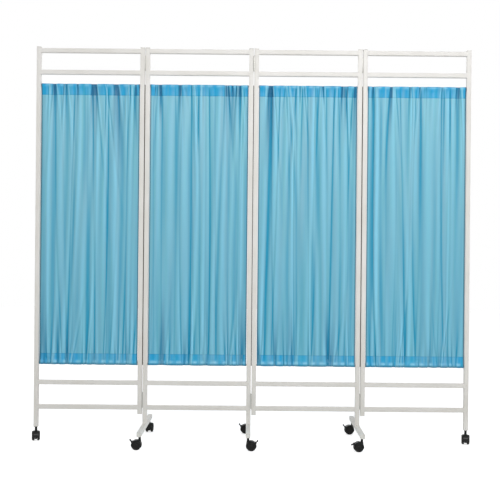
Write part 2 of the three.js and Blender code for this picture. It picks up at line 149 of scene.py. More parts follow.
class CurtainSettings(bpy.types.PropertyGroup):
    width: length("Hung width", "Width of a gathered curtain", 0.450)
    flat_width: length("Flat width", "Width of the cloth before it is gathered", 0.580)
    hem: length("Hem height", "Height of the doubled cloth at the top and bottom", 0.052)
    ply: length("Cloth thickness", "Thickness of one layer of cloth", 0.00035)
    fold_depth: length("Fold depth", "How far the broad folds stand out", 0.0046)
    pleat: length("Pleat depth", "How deep the long pleats are between two rods", 0.0043)
    fan: length("Fan height", "How far the folds that fan out from a rod stand out", 0.0023)
    puff: length("Puff", "How far the cloth swells between two pinches on a rod", 0.0040)
    relief: length("Relief", "Depth of a fold at which its tone is fully shaded or lit", 0.0028)
    columns: IntProperty(name="Columns", description="Points across a curtain", default=400, min=60, max=420)
    # Partly the single cloth's own colour, and partly painted light: paler for the bright room seen through
    # it
    body: colour("Body", "Colour of the single layer of cloth", linear(145, 206, 221))
    doubled: colour("Hems", "Colour of the doubled cloth", linear(34, 178, 230))
    # Painted shade: laid into the valleys between folds, and more of it towards the bottom of the single
    # cloth
    shaded: colour("Valleys", "Colour between two folds", linear(0, 160, 198))
    # Painted highlight: laid along the ridges of the folds, on the folds that fan out in a hem and near the
    # rods
    lit: colour("Ridges", "Colour along the front of a fold", linear(154, 226, 248))
    # Deep in a pinch: partly the deeper colour of gathered cloth and partly painted shade; darker still, the
    # stitches
    crease: colour("Creases", "Colour deep in a pinch", linear(0, 110, 158))
    # The turned side edges, darker partly as painted shade of the gap beside the posts; also painted shade
    # under the lower rod
    selvedge: colour("Selvedge", "Colour along the turned side edges", linear(48, 104, 130))


class HingeSettings(bpy.types.PropertyGroup):
    height: length("Hinge height", "Height of a butt hinge", 0.068)
    barrel: length("Barrel radius", "Outside radius of the knuckles", 0.0035)
    pin: length("Pin radius", "Radius of the hinge pin", 0.0018)
    pin_offset: length("Pin offset", "Distance of the pin from the middle of the posts", 0.014)
    leaf: length("Leaf thickness", "Thickness of one leaf", 0.0014)
    play: length("Leaf play", "Gap between the two leaves", 0.0006)
    reach: length("Leaf reach", "How far a leaf reaches in between the posts", 0.016)
    # A dark strip in each fold: painted shadow for the shade in the gap between two posts
    strip_thickness: length("Strip thickness", "Thickness of the sealing strip in a fold", 0.0031)
    strip_depth: length("Strip depth", "Depth of the sealing strip in a fold", 0.012)
    strip: colour("Strip", "Colour of the sealing strips", linear(70, 62, 54))
    zinc: colour("Zinc", "Colour of the plated steel", linear(190, 189, 184))


class CasterSettings(bpy.types.PropertyGroup):
    trail: length("Trail", "Distance from the stem to the axle", 0.014)
    hood_space: length("Hood space", "From the wheels' tread to the outside of the hood", 0.0028)
    hood_wall: length("Hood wall", "Wall thickness of the hood", 0.0016)
    web: length("Web", "Half thickness of the web between the wheels", 0.0054)
    neck: length("Neck radius", "Radius of the hood's neck under the collar", 0.0057)
    stem_pin: length("Stem pin", "Radius of the stem's pin in the neck", 0.0036)
    socket: length("Socket", "Depth of the socket that takes the stem's pin", 0.012)
    shank: length("Shank radius", "Radius of the threaded shank", 0.0047)
    shank_length: length("Shank length", "Length of the shank over the collar", 0.015)
    collar: length("Collar height", "Height taken up by the collar", 0.0045)
    gap: length("Seat gap", "Gap between parts that touch", 0.0003)
    half_width: length("Half width", "Half of the width over a pair of wheels", 0.0182)
    half_space: length("Half space", "Half of the space between two wheels", 0.006)
    ear: length("Ear thickness", "Thickness of each ear that carries a lever's pin", 0.0026)
    lever_width: length("Lever width", "Width of a brake lever", 0.011)
    lever_length: length("Lever length", "Length of a brake lever from its pin", 0.014)
    lever_thickness: length("Lever thickness", "Thickness of a brake lever", 0.0040)
    nylon: colour("Nylon", "Colour of the hoods and levers", linear(9, 9, 9))
    tread: colour("Wheel", "Colour of the wheels", linear(15, 14, 13))


class StageSettings(bpy.types.PropertyGroup):
    distance: length("Camera distance", "Distance of the camera from the panels", 4.0)
    height: length("Camera height", "Height of the camera over the floor", 0.8781)
    sideways: FloatProperty(
        name="Camera sideways", description="How far the camera stands to the right",
        default=-0.011, unit="LENGTH",
    )
    lens: FloatProperty(
        name="Lens", description="Focal length on a 36 mm wide sensor",
        default=62.84, unit="CAMERA", min=1,
    )
    roll: FloatProperty(
        name="Roll", description="How far the camera leans to the left",
        default=math.radians(0.53), subtype="ANGLE",
    )
    key: power("Key light", "Power of the large front light", 86)
    fill: power("Side lights", "Power of each of the two side lights", 9)
    back: power("Back light", "Power of the large light behind", 26)
    sky: FloatProperty(
        name="Room light", description="Strength of the even light of the room",
        default=0.40, min=0,
    )


class ScreenSettings(bpy.types.PropertyGroup):
    tube: PointerProperty(type=TubeSettings)
    curtain: PointerProperty(type=CurtainSettings)
    hinge: PointerProperty(type=HingeSettings)
    caster: PointerProperty(type=CasterSettings)
    stage: PointerProperty(type=StageSettings)


# Shapes, each worked out as whole arrays


def rounded(points, radius, steps=5):
    """A closed outline with each corner eased. Between the points A and B, one radius and at most 0.45 of a
    side from the corner P, it follows (1-t)^2 A + 2t(1-t) P + t^2 B."""
    points = np.asarray(points, float)
    before, after = np.roll(points, 1, 0), np.roll(points, -1, 0)
    to_before, to_after = before - points, after - points
    near, far = (np.linalg.norm(way, axis=1, keepdims=True) for way in (to_before, to_after))
    start = points + to_before * np.minimum(radius / near, 0.45)
    end = points + to_after * np.minimum(radius / far, 0.45)
    t = np.linspace(0, 1, steps)[None, :, None]
    eased = (1 - t) ** 2 * start[:, None] + 2 * t * (1 - t) * points[:, None] + t**2 * end[:, None]
    return eased.reshape(-1, 2)


def rectangle(width, height, radius, steps=5):
    """The outline of a rectangle round the origin with eased corners."""
    x, y = width / 2, height / 2
    return rounded([(x, -y), (x, y), (-x, y), (-x, -y)], radius, steps)


def turned(profile, sides):
    """A profile of (radius, height) pairs turned round Z: x = r cos a, y = r sin a, z = height."""
    radius, height = np.asarray(profile, float).T
    angle = np.arange(sides) * TURN / sides
    x, y = np.outer(radius, np.cos(angle)), np.outer(radius, np.sin(angle))
    return np.stack([x, y, np.repeat(height[:, None], sides, 1)], -1)


def carried(outline, stations, axis):
    """An outline carried along an axis. Each station is (place, inset), and the outline is drawn in towards
    its middle there by that inset: p = m + (p0 - m)(1 - inset / half size)."""
    outline = np.asarray(outline, float)
    middle = (outline.max(0) + outline.min(0)) / 2
    half = (outline.max(0) - outline.min(0)) / 2
    place, inset = np.asarray(stations, float).T
    flat = middle + (outline - middle)[None] * (1 - inset[:, None, None] / half)
    along = np.repeat(place[:, None], len(outline), 1)
    u, v = flat[..., 0], flat[..., 1]
    order = {"X": (along, u, v), "Y": (u, along, v), "Z": (u, v, along)}[axis]
    return np.stack(order, -1)


def soft_ends(low, high, radius, steps=4):
    """Stations from low to high whose two edges are rounded: inset = r (1 - sin a), place = r (1 - cos a)."""
    angle = np.linspace(0, np.pi / 2, steps)
    place, inset = radius * (1 - np.cos(angle)), radius * (1 - np.sin(angle))
    start = np.stack([low + place, inset], -1)
    end = np.stack([high - place[::-1], inset[::-1]], -1)
    return np.vstack([start, end])


def rod_profile(radius, low, high, inward, along):
    """The profile of a rod from low to high, its two edges cut off by so much inward and along."""
    start = [(0, low), (radius - inward, low), (radius, low + along)]
    return start + [(radius, high - along), (radius - inward, high), (0, high)]


def distances(line):
    """How far each point of a line is from its start, along the line."""
    steps = np.linalg.norm(np.diff(line, axis=0), axis=1)
    return np.concatenate([[0], np.cumsum(steps)])


def weld_bead(tube, samples=132, sides=8):
    """A rippled bead round a square tube, in the plane z = 0. At the distance s round the outline the bead is
    a ring of radius b (1 + 0.13 sin(2 pi s / p) + 0.06 sin(2 pi s / 5.3 p)), where b is the bead's half width
    and p the ripple's length, flattened to 0.45 of that away from the tube."""
    outline = rectangle(tube.size, tube.size, tube.corner, 9)
    ring = np.vstack([outline, outline[:1]])
    walked = distances(ring)
    s = np.arange(samples) / samples * walked[-1]
    x, y = np.interp(s, walked, ring[:, 0]), np.interp(s, walked, ring[:, 1])
    slope = np.stack([np.roll(y, -1) - np.roll(y, 1), np.roll(x, 1) - np.roll(x, -1)], -1)
    normal = slope / np.linalg.norm(slope, axis=1, keepdims=True)
    normal *= np.sign((normal * np.stack([x, y], -1)).sum(1, keepdims=True))
    fine, slow = np.sin(TURN * s / tube.ripple), np.sin(TURN * s / (5.3 * tube.ripple))
    radius = tube.bead * (1 + 0.13 * fine + 0.06 * slow)
    angle = np.arange(sides) * TURN / sides
    out = 0.45 * np.outer(radius, np.cos(angle))
    along = np.outer(radius, np.sin(angle))
    return np.stack([x[:, None] + normal[:, :1] * out, y[:, None] + normal[:, 1:] * out, along], -1)


def moved(grid, by=(0, 0, 0), heading=0):
    """A grid turned round Z by a heading in degrees and then moved."""
    c, s = math.cos(math.radians(heading)), math.sin(math.radians(heading))
    return grid @ np.array([[c, s, 0], [-s, c, 0], [0, 0, 1]]) + np.asarray(by, float)


def tilted(grid, rise):
    """A grid turned round Y, so that what lies along +X rises by so many degrees."""
    c, s = math.cos(math.radians(rise)), math.sin(math.radians(rise))
    return grid @ np.array([[c, 0, s], [0, 1, 0], [-s, 0, c]])


def stood(grid, axis):
    """A grid drawn round Z laid so that its Z runs along another axis."""
    x, y, z = grid[..., 0], grid[..., 1], grid[..., 2]
    return np.stack({"X": (z, x, y), "Y": (y, z, x), "Z": (x, y, z)}[axis], -1)


class Surfaces:
    """Grids of points gathered into one mesh."""

    def __init__(self):
        self.points, self.faces, self.count = [], [], 0

    def add(self, grid, ring=True, loop=False, ends=True):
        """Joins a (rows, columns, 3) grid by quads. ring closes each row on itself, loop joins the last row
        to the first, and ends closes the first and last row with a face each."""
        rows, columns = grid.shape[:2]
        index = np.arange(rows * columns).reshape(rows, columns) + self.count
        if ends and not loop:
            self.faces += [index[0, ::-1].tolist(), index[-1].tolist()]
        if ring:
            index = np.hstack([index, index[:, :1]])
        if loop:
            index = np.vstack([index, index[:1]])
        corners = (index[:-1, :-1], index[:-1, 1:], index[1:, 1:], index[1:, :-1])
        self.faces += np.stack(corners, -1).reshape(-1, 4).tolist()
        self.points.append(grid.reshape(-1, 3))
        self.count += rows * columns

    def turn(self, profile, sides, axis="Z", by=(0, 0, 0)):
        """Adds a profile turned round an axis, its poles closed by their own points."""
        self.add(stood(turned(profile, sides), axis) + np.asarray(by, float), ends=False)

    def move(self, by=(0, 0, 0), heading=0):
        self.points = [moved(points, by, heading) for points in self.points]

    def piece(self, name, material, sharp=32):
        """The mesh object: doubles merged at the poles, faces turned outwards, and edges of more than `sharp`
        degrees kept sharp."""
        mesh = bpy.data.meshes.new(name)
        mesh.from_pydata(np.vstack(self.points).tolist(), [], self.faces)
        form = bmesh.new()
        form.from_mesh(mesh)
        bmesh.ops.remove_doubles(form, verts=form.verts, dist=1e-6)
        bmesh.ops.recalc_face_normals(form, faces=form.faces)
        form.to_mesh(mesh)
        form.free()
        mesh.shade_smooth()
        mesh.set_sharp_from_angle(angle=math.radians(sharp))
        mesh.materials.append(material)
        made = bpy.data.objects.new(name, mesh)
        bpy.context.scene.collection.objects.link(made)
        return made


def fasten(piece, node):
    """A finished piece rides on the body of a CAD node."""
    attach(piece, body_with(node))


def settle(piece, node):
    """A finished piece rides on the body of the CAD node it stands for, and hides that node."""
    fasten(piece, node)
    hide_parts(node)


def write_mark(mesh, name, values):
    """Gives each point of a mesh a value that its material reads."""
    made = mesh.attributes.new(name, "FLOAT", "POINT")
    made.data.foreach_set("value", values.astype(np.float32).ravel())


# Materials


def new_tree(name):
    material = bpy.data.materials.new(name)
    material.use_nodes = True
    material.node_tree.nodes.clear()
    return material, material.node_tree


def node(tree, kind, inputs=(), **settings):
    """A node with its settings, and its inputs given as values or as sockets to link."""
    made = tree.nodes.new(kind)
    for key, value in settings.items():
        setattr(made, key, value)
    for key, value in dict(inputs).items():
        if isinstance(value, bpy.types.NodeSocket):
            tree.links.new(value, made.inputs[key])
        else:
            made.inputs[key].default_value = value
    return made


def mixed(tree, share, first, second):
    """A second colour mixed into a first by a share, as a socket. A colour is a socket or three numbers."""
    inputs = {0: share}
    for key, tone in ((6, first), (7, second)):
        inputs[key] = tone if isinstance(tone, bpy.types.NodeSocket) else (*tone, 1)
    return node(tree, "ShaderNodeMix", inputs, data_type="RGBA").outputs[2]


def ranged(tree, value, from_low, from_high, to_low, to_high, smooth=False):
    """A value mapped from one range to another, as a socket."""
    inputs = {0: value, 1: from_low, 2: from_high, 3: to_low, 4: to_high}
    settings = {"interpolation_type": "SMOOTHSTEP"} if smooth else {}
    return node(tree, "ShaderNodeMapRange", inputs, **settings).outputs[0]


def computed(tree, operation, first, second=0.0):
    return node(tree, "ShaderNodeMath", {0: first, 1: second}, operation=operation).outputs[0]


def noise(tree, coordinates, scale, detail=2.0, roughness=0.5):
    inputs = {"Vector": coordinates, "Scale": scale, "Detail": detail, "Roughness": roughness}
    return node(tree, "ShaderNodeTexNoise", inputs).outputs[0]


def stretched(tree, coordinates, scale):
    return node(tree, "ShaderNodeMapping", {"Vector": coordinates, "Scale": scale}).outputs[0]


def tinted(base, share):
    """A colour times a share, or times a share for each of its three channels."""
    return tuple(np.multiply(base, share).tolist())


def mark(tree, name):
    """A value that the mesh has at each of its points, as a socket."""
    return node(tree, "ShaderNodeAttribute", attribute_name=name).outputs["Fac"]


def bumps(tree, height, strength, distance):
    """A shader's normal, tilted by a pattern of heights."""
    inputs = {"Height": height, "Strength": strength, "Distance": distance}
    return node(tree, "ShaderNodeBump", inputs).outputs[0]


def surface(tree, tone, rough, normal, **more):
    """The shader of an opaque surface. Underscores in the names of more inputs stand for spaces."""
    inputs = {"Base Color": tone, "Roughness": rough, "Normal": normal}
    inputs.update({key.replace("_", " "): value for key, value in more.items()})
    return node(tree, "ShaderNodeBsdfPrincipled", inputs).outputs[0]


def finished(tree, material, shader):
    node(tree, "ShaderNodeOutputMaterial", {"Surface": shader})
    return material


def powder_coat(name, paint):
    """Powder coat: orange peel of about a millimetre, a faint cloudy tone, a few scuffs, and a duller, warmer
    tone that grows from knee height down to just over the feet, which stay lighter again as painted light,
    for the light that falls on their tops from above."""
    material, tree = new_tree(name)
    place = node(tree, "ShaderNodeTexCoord").outputs["Object"]
    height = node(tree, "ShaderNodeSeparateXYZ", {0: place}).outputs[2]
    cloud = noise(tree, place, 7, 3)
    peel = noise(tree, place, 950, 1.5)
    scuff = noise(tree, stretched(tree, place, (1, 1, 0.15)), 60, 5, 0.62)
    dull, low_tone = tinted(paint, (0.90, 0.89, 0.86)), tinted(paint, (0.80, 0.785, 0.745))
    tone = mixed(tree, ranged(tree, cloud, 0.35, 0.7, 0, 0.7), paint, dull)
    # Duller and warmer towards the floor
    low = ranged(tree, height, 0.62, 0.02, 0, 0.4, True)
    # Painted light: the feet are kept lighter, as if lit from above
    over_feet = ranged(tree, height, 0.06, 0.15, 0.15, 1)
    tone = mixed(tree, computed(tree, "MULTIPLY", low, over_feet), tone, low_tone)
    tone = mixed(tree, ranged(tree, scuff, 0.66, 0.8, 0, 0.22), tone, tinted(paint, 0.72))
    rough = ranged(tree, scuff, 0.3, 0.75, 0.33, 0.5)
    bump = bumps(tree, peel, 0.18, 0.0002)
    return finished(tree, material, surface(tree, tone, rough, bump, Specular_IOR_Level=0.45))


def moulded(name, base, rough, dust, specular=0.5):
    """Moulded plastic: a fine spark-eroded grain, a soft change of gloss and a little dust in patches."""
    material, tree = new_tree(name)
    place = node(tree, "ShaderNodeTexCoord").outputs["Object"]
    grain = noise(tree, place, 1500, 2)
    patch = noise(tree, place, 90, 4, 0.6)
    lifted = tuple(min(1, c * 1.35 + 0.03) for c in base)
    tone = mixed(tree, ranged(tree, patch, 0.45, 0.8, 0, dust * 4), base, lifted)
    shine = ranged(tree, patch, 0.3, 0.7, rough - 0.06, rough + 0.1)
    bump = bumps(tree, grain, 0.25, 0.00012)
    return finished(tree, material, surface(tree, tone, shine, bump, Specular_IOR_Level=specular))


def plated(name, base):
    """Zinc-plated steel: fine drawn lines along Z, and a cloudy spangle in its tone and gloss."""
    material, tree = new_tree(name)
    place = node(tree, "ShaderNodeTexCoord").outputs["Object"]
    cloud = noise(tree, place, 160, 3, 0.55)
    lines = noise(tree, stretched(tree, place, (1, 1, 0.04)), 2200, 2)
    tone = mixed(tree, ranged(tree, cloud, 0.3, 0.75, 0, 0.8), base, tinted(base, 0.78))
    shine = ranged(tree, cloud, 0.3, 0.75, 0.26, 0.46)
    bump = bumps(tree, lines, 0.12, 0.00008)
    return finished(tree, material, surface(tree, tone, shine, bump, Metallic=0.9))


def rubber_tread(name, base):
    """A wheel's moulded face and worn tread: greyer and rougher where it rolls, with fine scuffs."""
    material, tree = new_tree(name)
    place = node(tree, "ShaderNodeTexCoord").outputs["Object"]
    worn = mark(tree, "worn")
    scuff = noise(tree, place, 420, 5, 0.65)
    patch = noise(tree, place, 70, 3)
    grey = tuple(min(1, c * 2.4 + 0.012) for c in base)
    share = computed(tree, "MULTIPLY", worn, ranged(tree, scuff, 0.35, 0.7, 0.15, 0.8))
    tone = mixed(tree, share, base, grey)
    tone = mixed(tree, ranged(tree, patch, 0.5, 0.8, 0, 0.3), tone, grey)
    rougher = computed(tree, "MULTIPLY", worn, 0.22)
    shine = computed(tree, "ADD", ranged(tree, patch, 0.3, 0.7, 0.36, 0.5), rougher)
    bump = bumps(tree, scuff, 0.2, 0.00015)
    return finished(tree, material, surface(tree, tone, shine, bump, Specular_IOR_Level=0.18))


def curtain_cloth(settings):
    """Thin woven synthetic. Doubled cloth is deeper blue, pinches are deeper blue partly as gathered cloth
    and partly as painted shade, and the stitch rows darker still. The marks on the mesh paint shade into the
    valleys and the fold under the lower rod and, in part, the side edges, and highlights onto the ridges and
    near the rods, and the single cloth darkens on its way down as painted shade. Its paler colour is partly
    painted light, the bright room seen through one layer. The weave is a fine cross of threads on the cloth's
    own UV, in metres, and light from behind comes through."""
    material, tree = new_tree("woven_curtain")
    cloth = node(tree, "ShaderNodeTexCoord").outputs["UV"]
    along, down = node(tree, "ShaderNodeSeparateXYZ", {0: cloth}).outputs[:2]
    doubled = mark(tree, "doubled")
    slub = noise(tree, stretched(tree, cloth, (260, 9, 1)), 1.0, 3, 0.6)
    green = noise(tree, stretched(tree, cloth, (34, 1.3, 1)), 1.0, 2)
    mauve = noise(tree, stretched(tree, cloth, (27, 1.1, 5)), 1.0, 2)
    tone = mixed(tree, doubled, settings.body, settings.doubled)
    tone = mixed(tree, ranged(tree, slub, 0.3, 0.75, 0, 0.16), tone, settings.doubled)
    tone = mixed(tree, ranged(tree, green, 0.45, 0.8, 0, 0.4), tone, linear(112, 204, 204))
    tone = mixed(tree, ranged(tree, mauve, 0.45, 0.8, 0, 0.45), tone, linear(158, 194, 208))
    # Painted shade: the single cloth darkens towards the bottom, mixed towards the valley colour
    lower, single = ranged(tree, down, 0.1, 1.35, 0, 0.32), ranged(tree, doubled, 0, 1, 1, 0)
    tone = mixed(tree, computed(tree, "MULTIPLY", lower, single), tone, settings.shaded)
    # Painted shade in the valleys and under the lower rod, painted highlights on the ridges and near the rods
    layers = {
        "valley": settings.shaded, "ridge": settings.lit, "pinched": settings.crease,
        "gleam": settings.lit, "selvedge": settings.selvedge,
    }
    for name, colour_there in layers.items():
        tone = mixed(tree, mark(tree, name), tone, colour_there)
    # Stitches of 3 mm, as radians for each metre along the seam
    beat = computed(tree, "SINE", computed(tree, "MULTIPLY", along, 2094.0))
    seam = computed(tree, "MULTIPLY", mark(tree, "stitched"), ranged(tree, beat, -0.4, 0.3, 0.15, 0.5))
    tone = mixed(tree, seam, tone, tinted(settings.crease, 0.62))
    threads, picks = (
        node(tree, "ShaderNodeTexWave", {"Vector": cloth, "Scale": scale}, bands_direction=way).outputs[1]
        for way, scale in (("X", 620.0), ("Y", 520.0))
    )
    bump = bumps(tree, computed(tree, "ADD", threads, picks), 0.12, 0.0001)
    shine = ranged(tree, doubled, 0, 1, 0.40, 0.30)
    gloss = {"Specular_IOR_Level": 0.4, "Sheen_Weight": 0.08, "Sheen_Roughness": 0.4}
    woven = surface(tree, tone, shine, bump, **gloss)
    through = node(tree, "ShaderNodeBsdfTranslucent", {"Color": tone}).outputs[0]
    both = node(tree, "ShaderNodeMixShader", {0: 0.22, 1: woven, 2: through}).outputs[0]
    return finished(tree, material, both)


def shared(name, make, *values):
    """A material made once and then used again."""
    return bpy.data.materials.get(name) or make(name, *values)


def tube_paint(tube):
    return shared("powder_coated_tube", powder_coat, tube.paint)


def cap_plastic(tube):
    return shared("cap_plastic", moulded, tube.plastic, 0.42, 0.05)


def zinc_plate(hinge):
    return shared("zinc_plate", plated, hinge.zinc)


# Panels and feet


def square_tube(surfaces, tube, low, high, axis, at):
    """A closed length of square tube with eased corners, its middle line through `at`."""
    outline = rectangle(tube.size, tube.size, tube.corner)
    surfaces.add(carried(outline, [(low, 0), (high, 0)], axis) + np.asarray(at, float))


def end_cap(surfaces, tube, overhang, low, high, axis, at):
    """A moulded cap or plug: a square plate that stands out past the tube, its corners and edges eased."""
    wide = tube.size + 2 * overhang
    outline = rectangle(wide, wide, tube.corner * 1.3, 7)
    surfaces.add(carried(outline, soft_ends(low, high, 0.0012, 5), axis) + np.asarray(at, float))


class WARDSCREEN_OT_frames(bpy.types.Operator):
    """Build the four welded tube frames with their caps and weld beads"""

    bl_idname = "ward_screen.frames"
    bl_label = "Panel Frames"

    def execute(self, context):
        tube, caster = context.scene.ward_screen.tube, context.scene.ward_screen.caster
        paint, plastic = tube_paint(tube), cap_plastic(tube)
        half, bead = tube.size / 2, weld_bead(tube)
        starts = {
            "caster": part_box("caster_outer_left_stem")[1].z - caster.shank_length,
            "cap": CAPPED_END,
            "foot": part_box("foot_left")[1].z,
        }
        for number in PANELS:
            name = f"frame_{number}"
            low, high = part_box(name)
            # The caps stand out past the posts, so the posts' places come from the box less that overhang
            centre, end = (low.x + high.x) / 2, high.z - tube.cap_height
            reach = (high.x - low.x) / 2 - tube.cap_overhang - half
            metal, caps, beads = Surfaces(), Surfaces(), Surfaces()
            for side, kind in zip((-1, 1), POST_ENDS[number]):
                x, start = centre + side * reach, starts[kind]
                end_cap(caps, tube, tube.cap_overhang, end, high.z, "Z", (x, 0, 0))
                if kind == "cap":
                    over_cap = start + tube.cap_height
                    end_cap(caps, tube, tube.cap_overhang, start, over_cap, "Z", (x, 0, 0))
                    start = over_cap
                if kind == "foot":
                    beads.add(moved(bead, (x, 0, start)), loop=True)
                square_tube(metal, tube, start, end, "Z", (x, 0, 0))
                for height in RAIL_HEIGHTS:
                    beads.add(moved(stood(bead, "X"), (x - side * half, 0, height)), loop=True)
            inner = reach - half + tube.corner
            for height in RAIL_HEIGHTS:
                square_tube(metal, tube, centre - inner, centre + inner, "X", (0, 0, height))
            settle(metal.piece(f"panel_tubes_{number}", paint), name)
            fasten(caps.piece(f"post_caps_{number}", plastic), name)
            fasten(beads.piece(f"weld_beads_{number}", paint, 60), name)
        return {"FINISHED"}


class WARDSCREEN_OT_feet(bpy.types.Operator):
    """Build the three cross feet and the plugs in their ends"""

    bl_idname = "ward_screen.feet"
    bl_label = "Cross Feet"

    def execute(self, context):
        tube = context.scene.ward_screen.tube
        paint, plastic = tube_paint(tube), cap_plastic(tube)
        for place in FEET:
            name = f"foot_{place}"
            at, tip = middle_of(name) * [1, 0, 1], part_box(name)[1].y
            end = tip - tube.cap_height
            metal, plugs = Surfaces(), Surfaces()
            square_tube(metal, tube, -end, end, "Y", at)
            for low, high in ((-tip, -end), (end, tip)):
                end_cap(plugs, tube, tube.cap_overhang / 2, low, high, "Y", at)
            settle(metal.piece(f"cross_foot_{place}", paint), name)
            fasten(plugs.piece(f"foot_plugs_{place}", plastic), name)
        return {"FINISHED"}


# Curtains and rods


def fading(away, reach, power=1):
    """A strength that fades with a distance: exp(-(away / reach)^power)."""
    return np.exp(-((away / reach) ** power))


def uneven_wave(rng, across, waves, wander=0.9):
    """A sine of so many waves over across = 0 to 1. Its phase wanders, and its height changes from one fold
    to the next."""
    drift = np.sin(TURN * (across * rng.uniform(0.6, 1.5) + rng.random()))
    quiver = np.sin(TURN * (across * rng.uniform(2.1, 3.6) + rng.random()))
    phase = TURN * (waves * across + rng.random()) + wander * (drift + 0.55 * quiver)
    height = 1 - 0.5 * (0.5 + 0.5 * np.sin(phase / 2.37 + TURN * rng.random()))
    return np.sin(phase) * height


def bunched(rng, centres, width, count, shift, lean):
    """Places along a rod, and the slants of the creases there. Three stand side by side at each centre, 8 mm
    apart and a share of that off it, and lean away from it: s = 6 (c - centre) + noise. The rest stand
    anywhere and lean either way."""
    order, turn = np.divmod(np.arange(count), len(centres))
    offset = 0.008 * (order - 1 + shift) + rng.normal(0, 0.0014, count)
    together = order < 3
    places = np.where(together, centres[turn] + offset, rng.uniform(0, width, count))
    return places, np.where(together, 6 * offset, 0) + rng.normal(0, lean, count)


def pinches(rng, across, away, width, depth, count, centres):
    """The pinches that run out from a rod. Each is a valley d exp(-a / L) / (1 + (x - c - s a)^2 / w^2) at
    the distance a from the rod, with its own depth d, reach L, place c and slant s, and its width w grows
    with a. A few are deep, wide and long, and most are slight."""
    places, slant = bunched(rng, centres, width, count, 0, 0.03)
    rank = rng.random(count) ** 1.8
    reach = np.exp(rng.uniform(math.log(0.026), math.log(0.10), count)) * (0.8 + 2.6 * rank)
    strength = depth * (0.25 + 1.35 * rank)
    narrow = 0.0014 + 0.0032 * rank
    a = away[..., None]
    wide = narrow * (1 + a / 0.045) ** 0.75
    offset = (across * width)[..., None] - places - slant * a
    return (strength * fading(a, reach) / (1 + (offset / wide) ** 2)).sum(-1)


def pleats(rng, across, share, width, depth):
    """Long pleats from rod to rod. Each is a valley d / (1 + t^2) whose middle runs from a place on the upper
    rod to one on the lower with a slight bow. It is narrow at the rods and wide between them, steeper on one
    side, and deepest near the rod it springs from."""
    count = 15
    start = (np.arange(count) + rng.uniform(-0.35, 1.35, count)) / count * width
    shift, bow = rng.normal(0, 0.026, count), rng.normal(0, 0.006, count)
    strength = depth * (0.3 + 0.9 * rng.random(count) ** 1.5)
    widest, steep = rng.uniform(0.001, 0.010, count), rng.uniform(-0.8, 0.8, count)
    spring, down = rng.random(count), share[..., None]
    bulge = np.sin(np.pi * down)
    t = ((across * width)[..., None] - (start + shift * down + bow * bulge)) / (0.0025 + widest * bulge)
    t = t * (1 + steep * np.tanh(t))
    along = spring * fading(down, 0.4) + (1 - spring) * fading(1 - down, 0.4) + 0.5
    return (strength * along / (1 + t**2)).sum(-1)


def fans(rng, across, away, width, count, reach, centres):
    """The folds that fan out from a rod. Each is a ridge with a sharp valley on one side of it,
    h exp(-(a / L)^1.5) (exp(-t^2) - 0.8 exp(-((t - 1.5) / 0.6)^2)) with t = (x - c - s a) / w, at the
    distance a from the rod, and its width w grows with a."""
    places, slant = bunched(rng, centres, width, count, 0.5, 0.03)
    rank = rng.random(count) ** 1.3
    a = away[..., None]
    wide = (0.0026 + 0.0032 * rng.random(count)) * (1 + a / 0.14) ** 0.8
    t = ((across * width)[..., None] - places - slant * a) / wide * rng.choice([-1, 1], count)
    ridge = fading(t, 1, 2) - 0.8 * fading(t - 1.5, 0.6, 2)
    return ((0.3 + 0.7 * rank) * fading(a, reach * (0.25 + 1.6 * rank), 1.5) * ridge).sum(-1)


def cloth_rows(rod_top, rod_bottom, lap):
    """The cloth's way from the end of the top hem, up behind the rod, over it, down the front, under the
    lower rod and up to the end of the lower hem. It is three arrays with a value for each row: its height,
    its turn round a rod in radians or else nan, and its layer, 1 behind, -1 in front and 0 round a rod."""
    drop, stitch = rod_top - rod_bottom, 0.0005
    down = lap - stitch
    share = (1 - np.cos(np.linspace(0, np.pi, 54))) / 2
    body = down + 2 * stitch + share * (drop - 2 * down - 4 * stitch)
    hem_rows = np.linspace(0.003, down, 9)
    front = rod_top - np.concatenate([hem_rows, body, drop - hem_rows[::-1]])
    behind_top = np.linspace(rod_top - lap, rod_top, 8)[:-1]
    behind_low = np.linspace(rod_bottom, rod_bottom + lap, 8)[1:]
    over = np.linspace(0, np.pi, 11)
    runs = (
        (behind_top, np.nan, 1.0), (rod_top, over, 0.0), (front, np.nan, -1.0),
        (rod_bottom, over + np.pi, 0.0), (behind_low, np.nan, 1.0),
    )
    return np.hstack([np.broadcast_arrays(*run) for run in runs])


def levelled(values, span):
    """Each value less the mean of its row within so many columns on either side, from a running sum."""
    padded = np.pad(values, ((0, 0), (span + 1, span)), mode="reflect")
    total = np.cumsum(padded, axis=1)
    return values - (total[:, 2 * span + 1 :] - total[:, : -2 * span - 1]) / (2 * span + 1)


def broad_folds(rng, across, share, below, above):
    """The broad folds, about 1 high. Waves of 5.6 and 9.4 folds over the width give way to narrow ones, 12.5
    at the upper rod and 13 at the lower, and all of them lean a little on their way down."""
    narrow_top, narrow_low = fading(below, 0.17), fading(above, 0.15)
    lean = rng.normal(0, 0.02) * (share - 0.5)
    lean += 0.016 * np.sin(TURN * (0.6 * share + 1.1 * across + rng.random()))
    broad = 0.75 * uneven_wave(rng, across + lean, 5.6)
    broad += 0.40 * uneven_wave(rng, across - 1.5 * lean, 9.4)
    broad *= (1 - 0.72 * narrow_top) * (1 - 0.72 * narrow_low)
    broad += 0.30 * uneven_wave(rng, across + 0.5 * lean, 12.5) * narrow_top
    broad += 0.30 * uneven_wave(rng, across - 0.5 * lean, 13.0) * narrow_low
    return broad


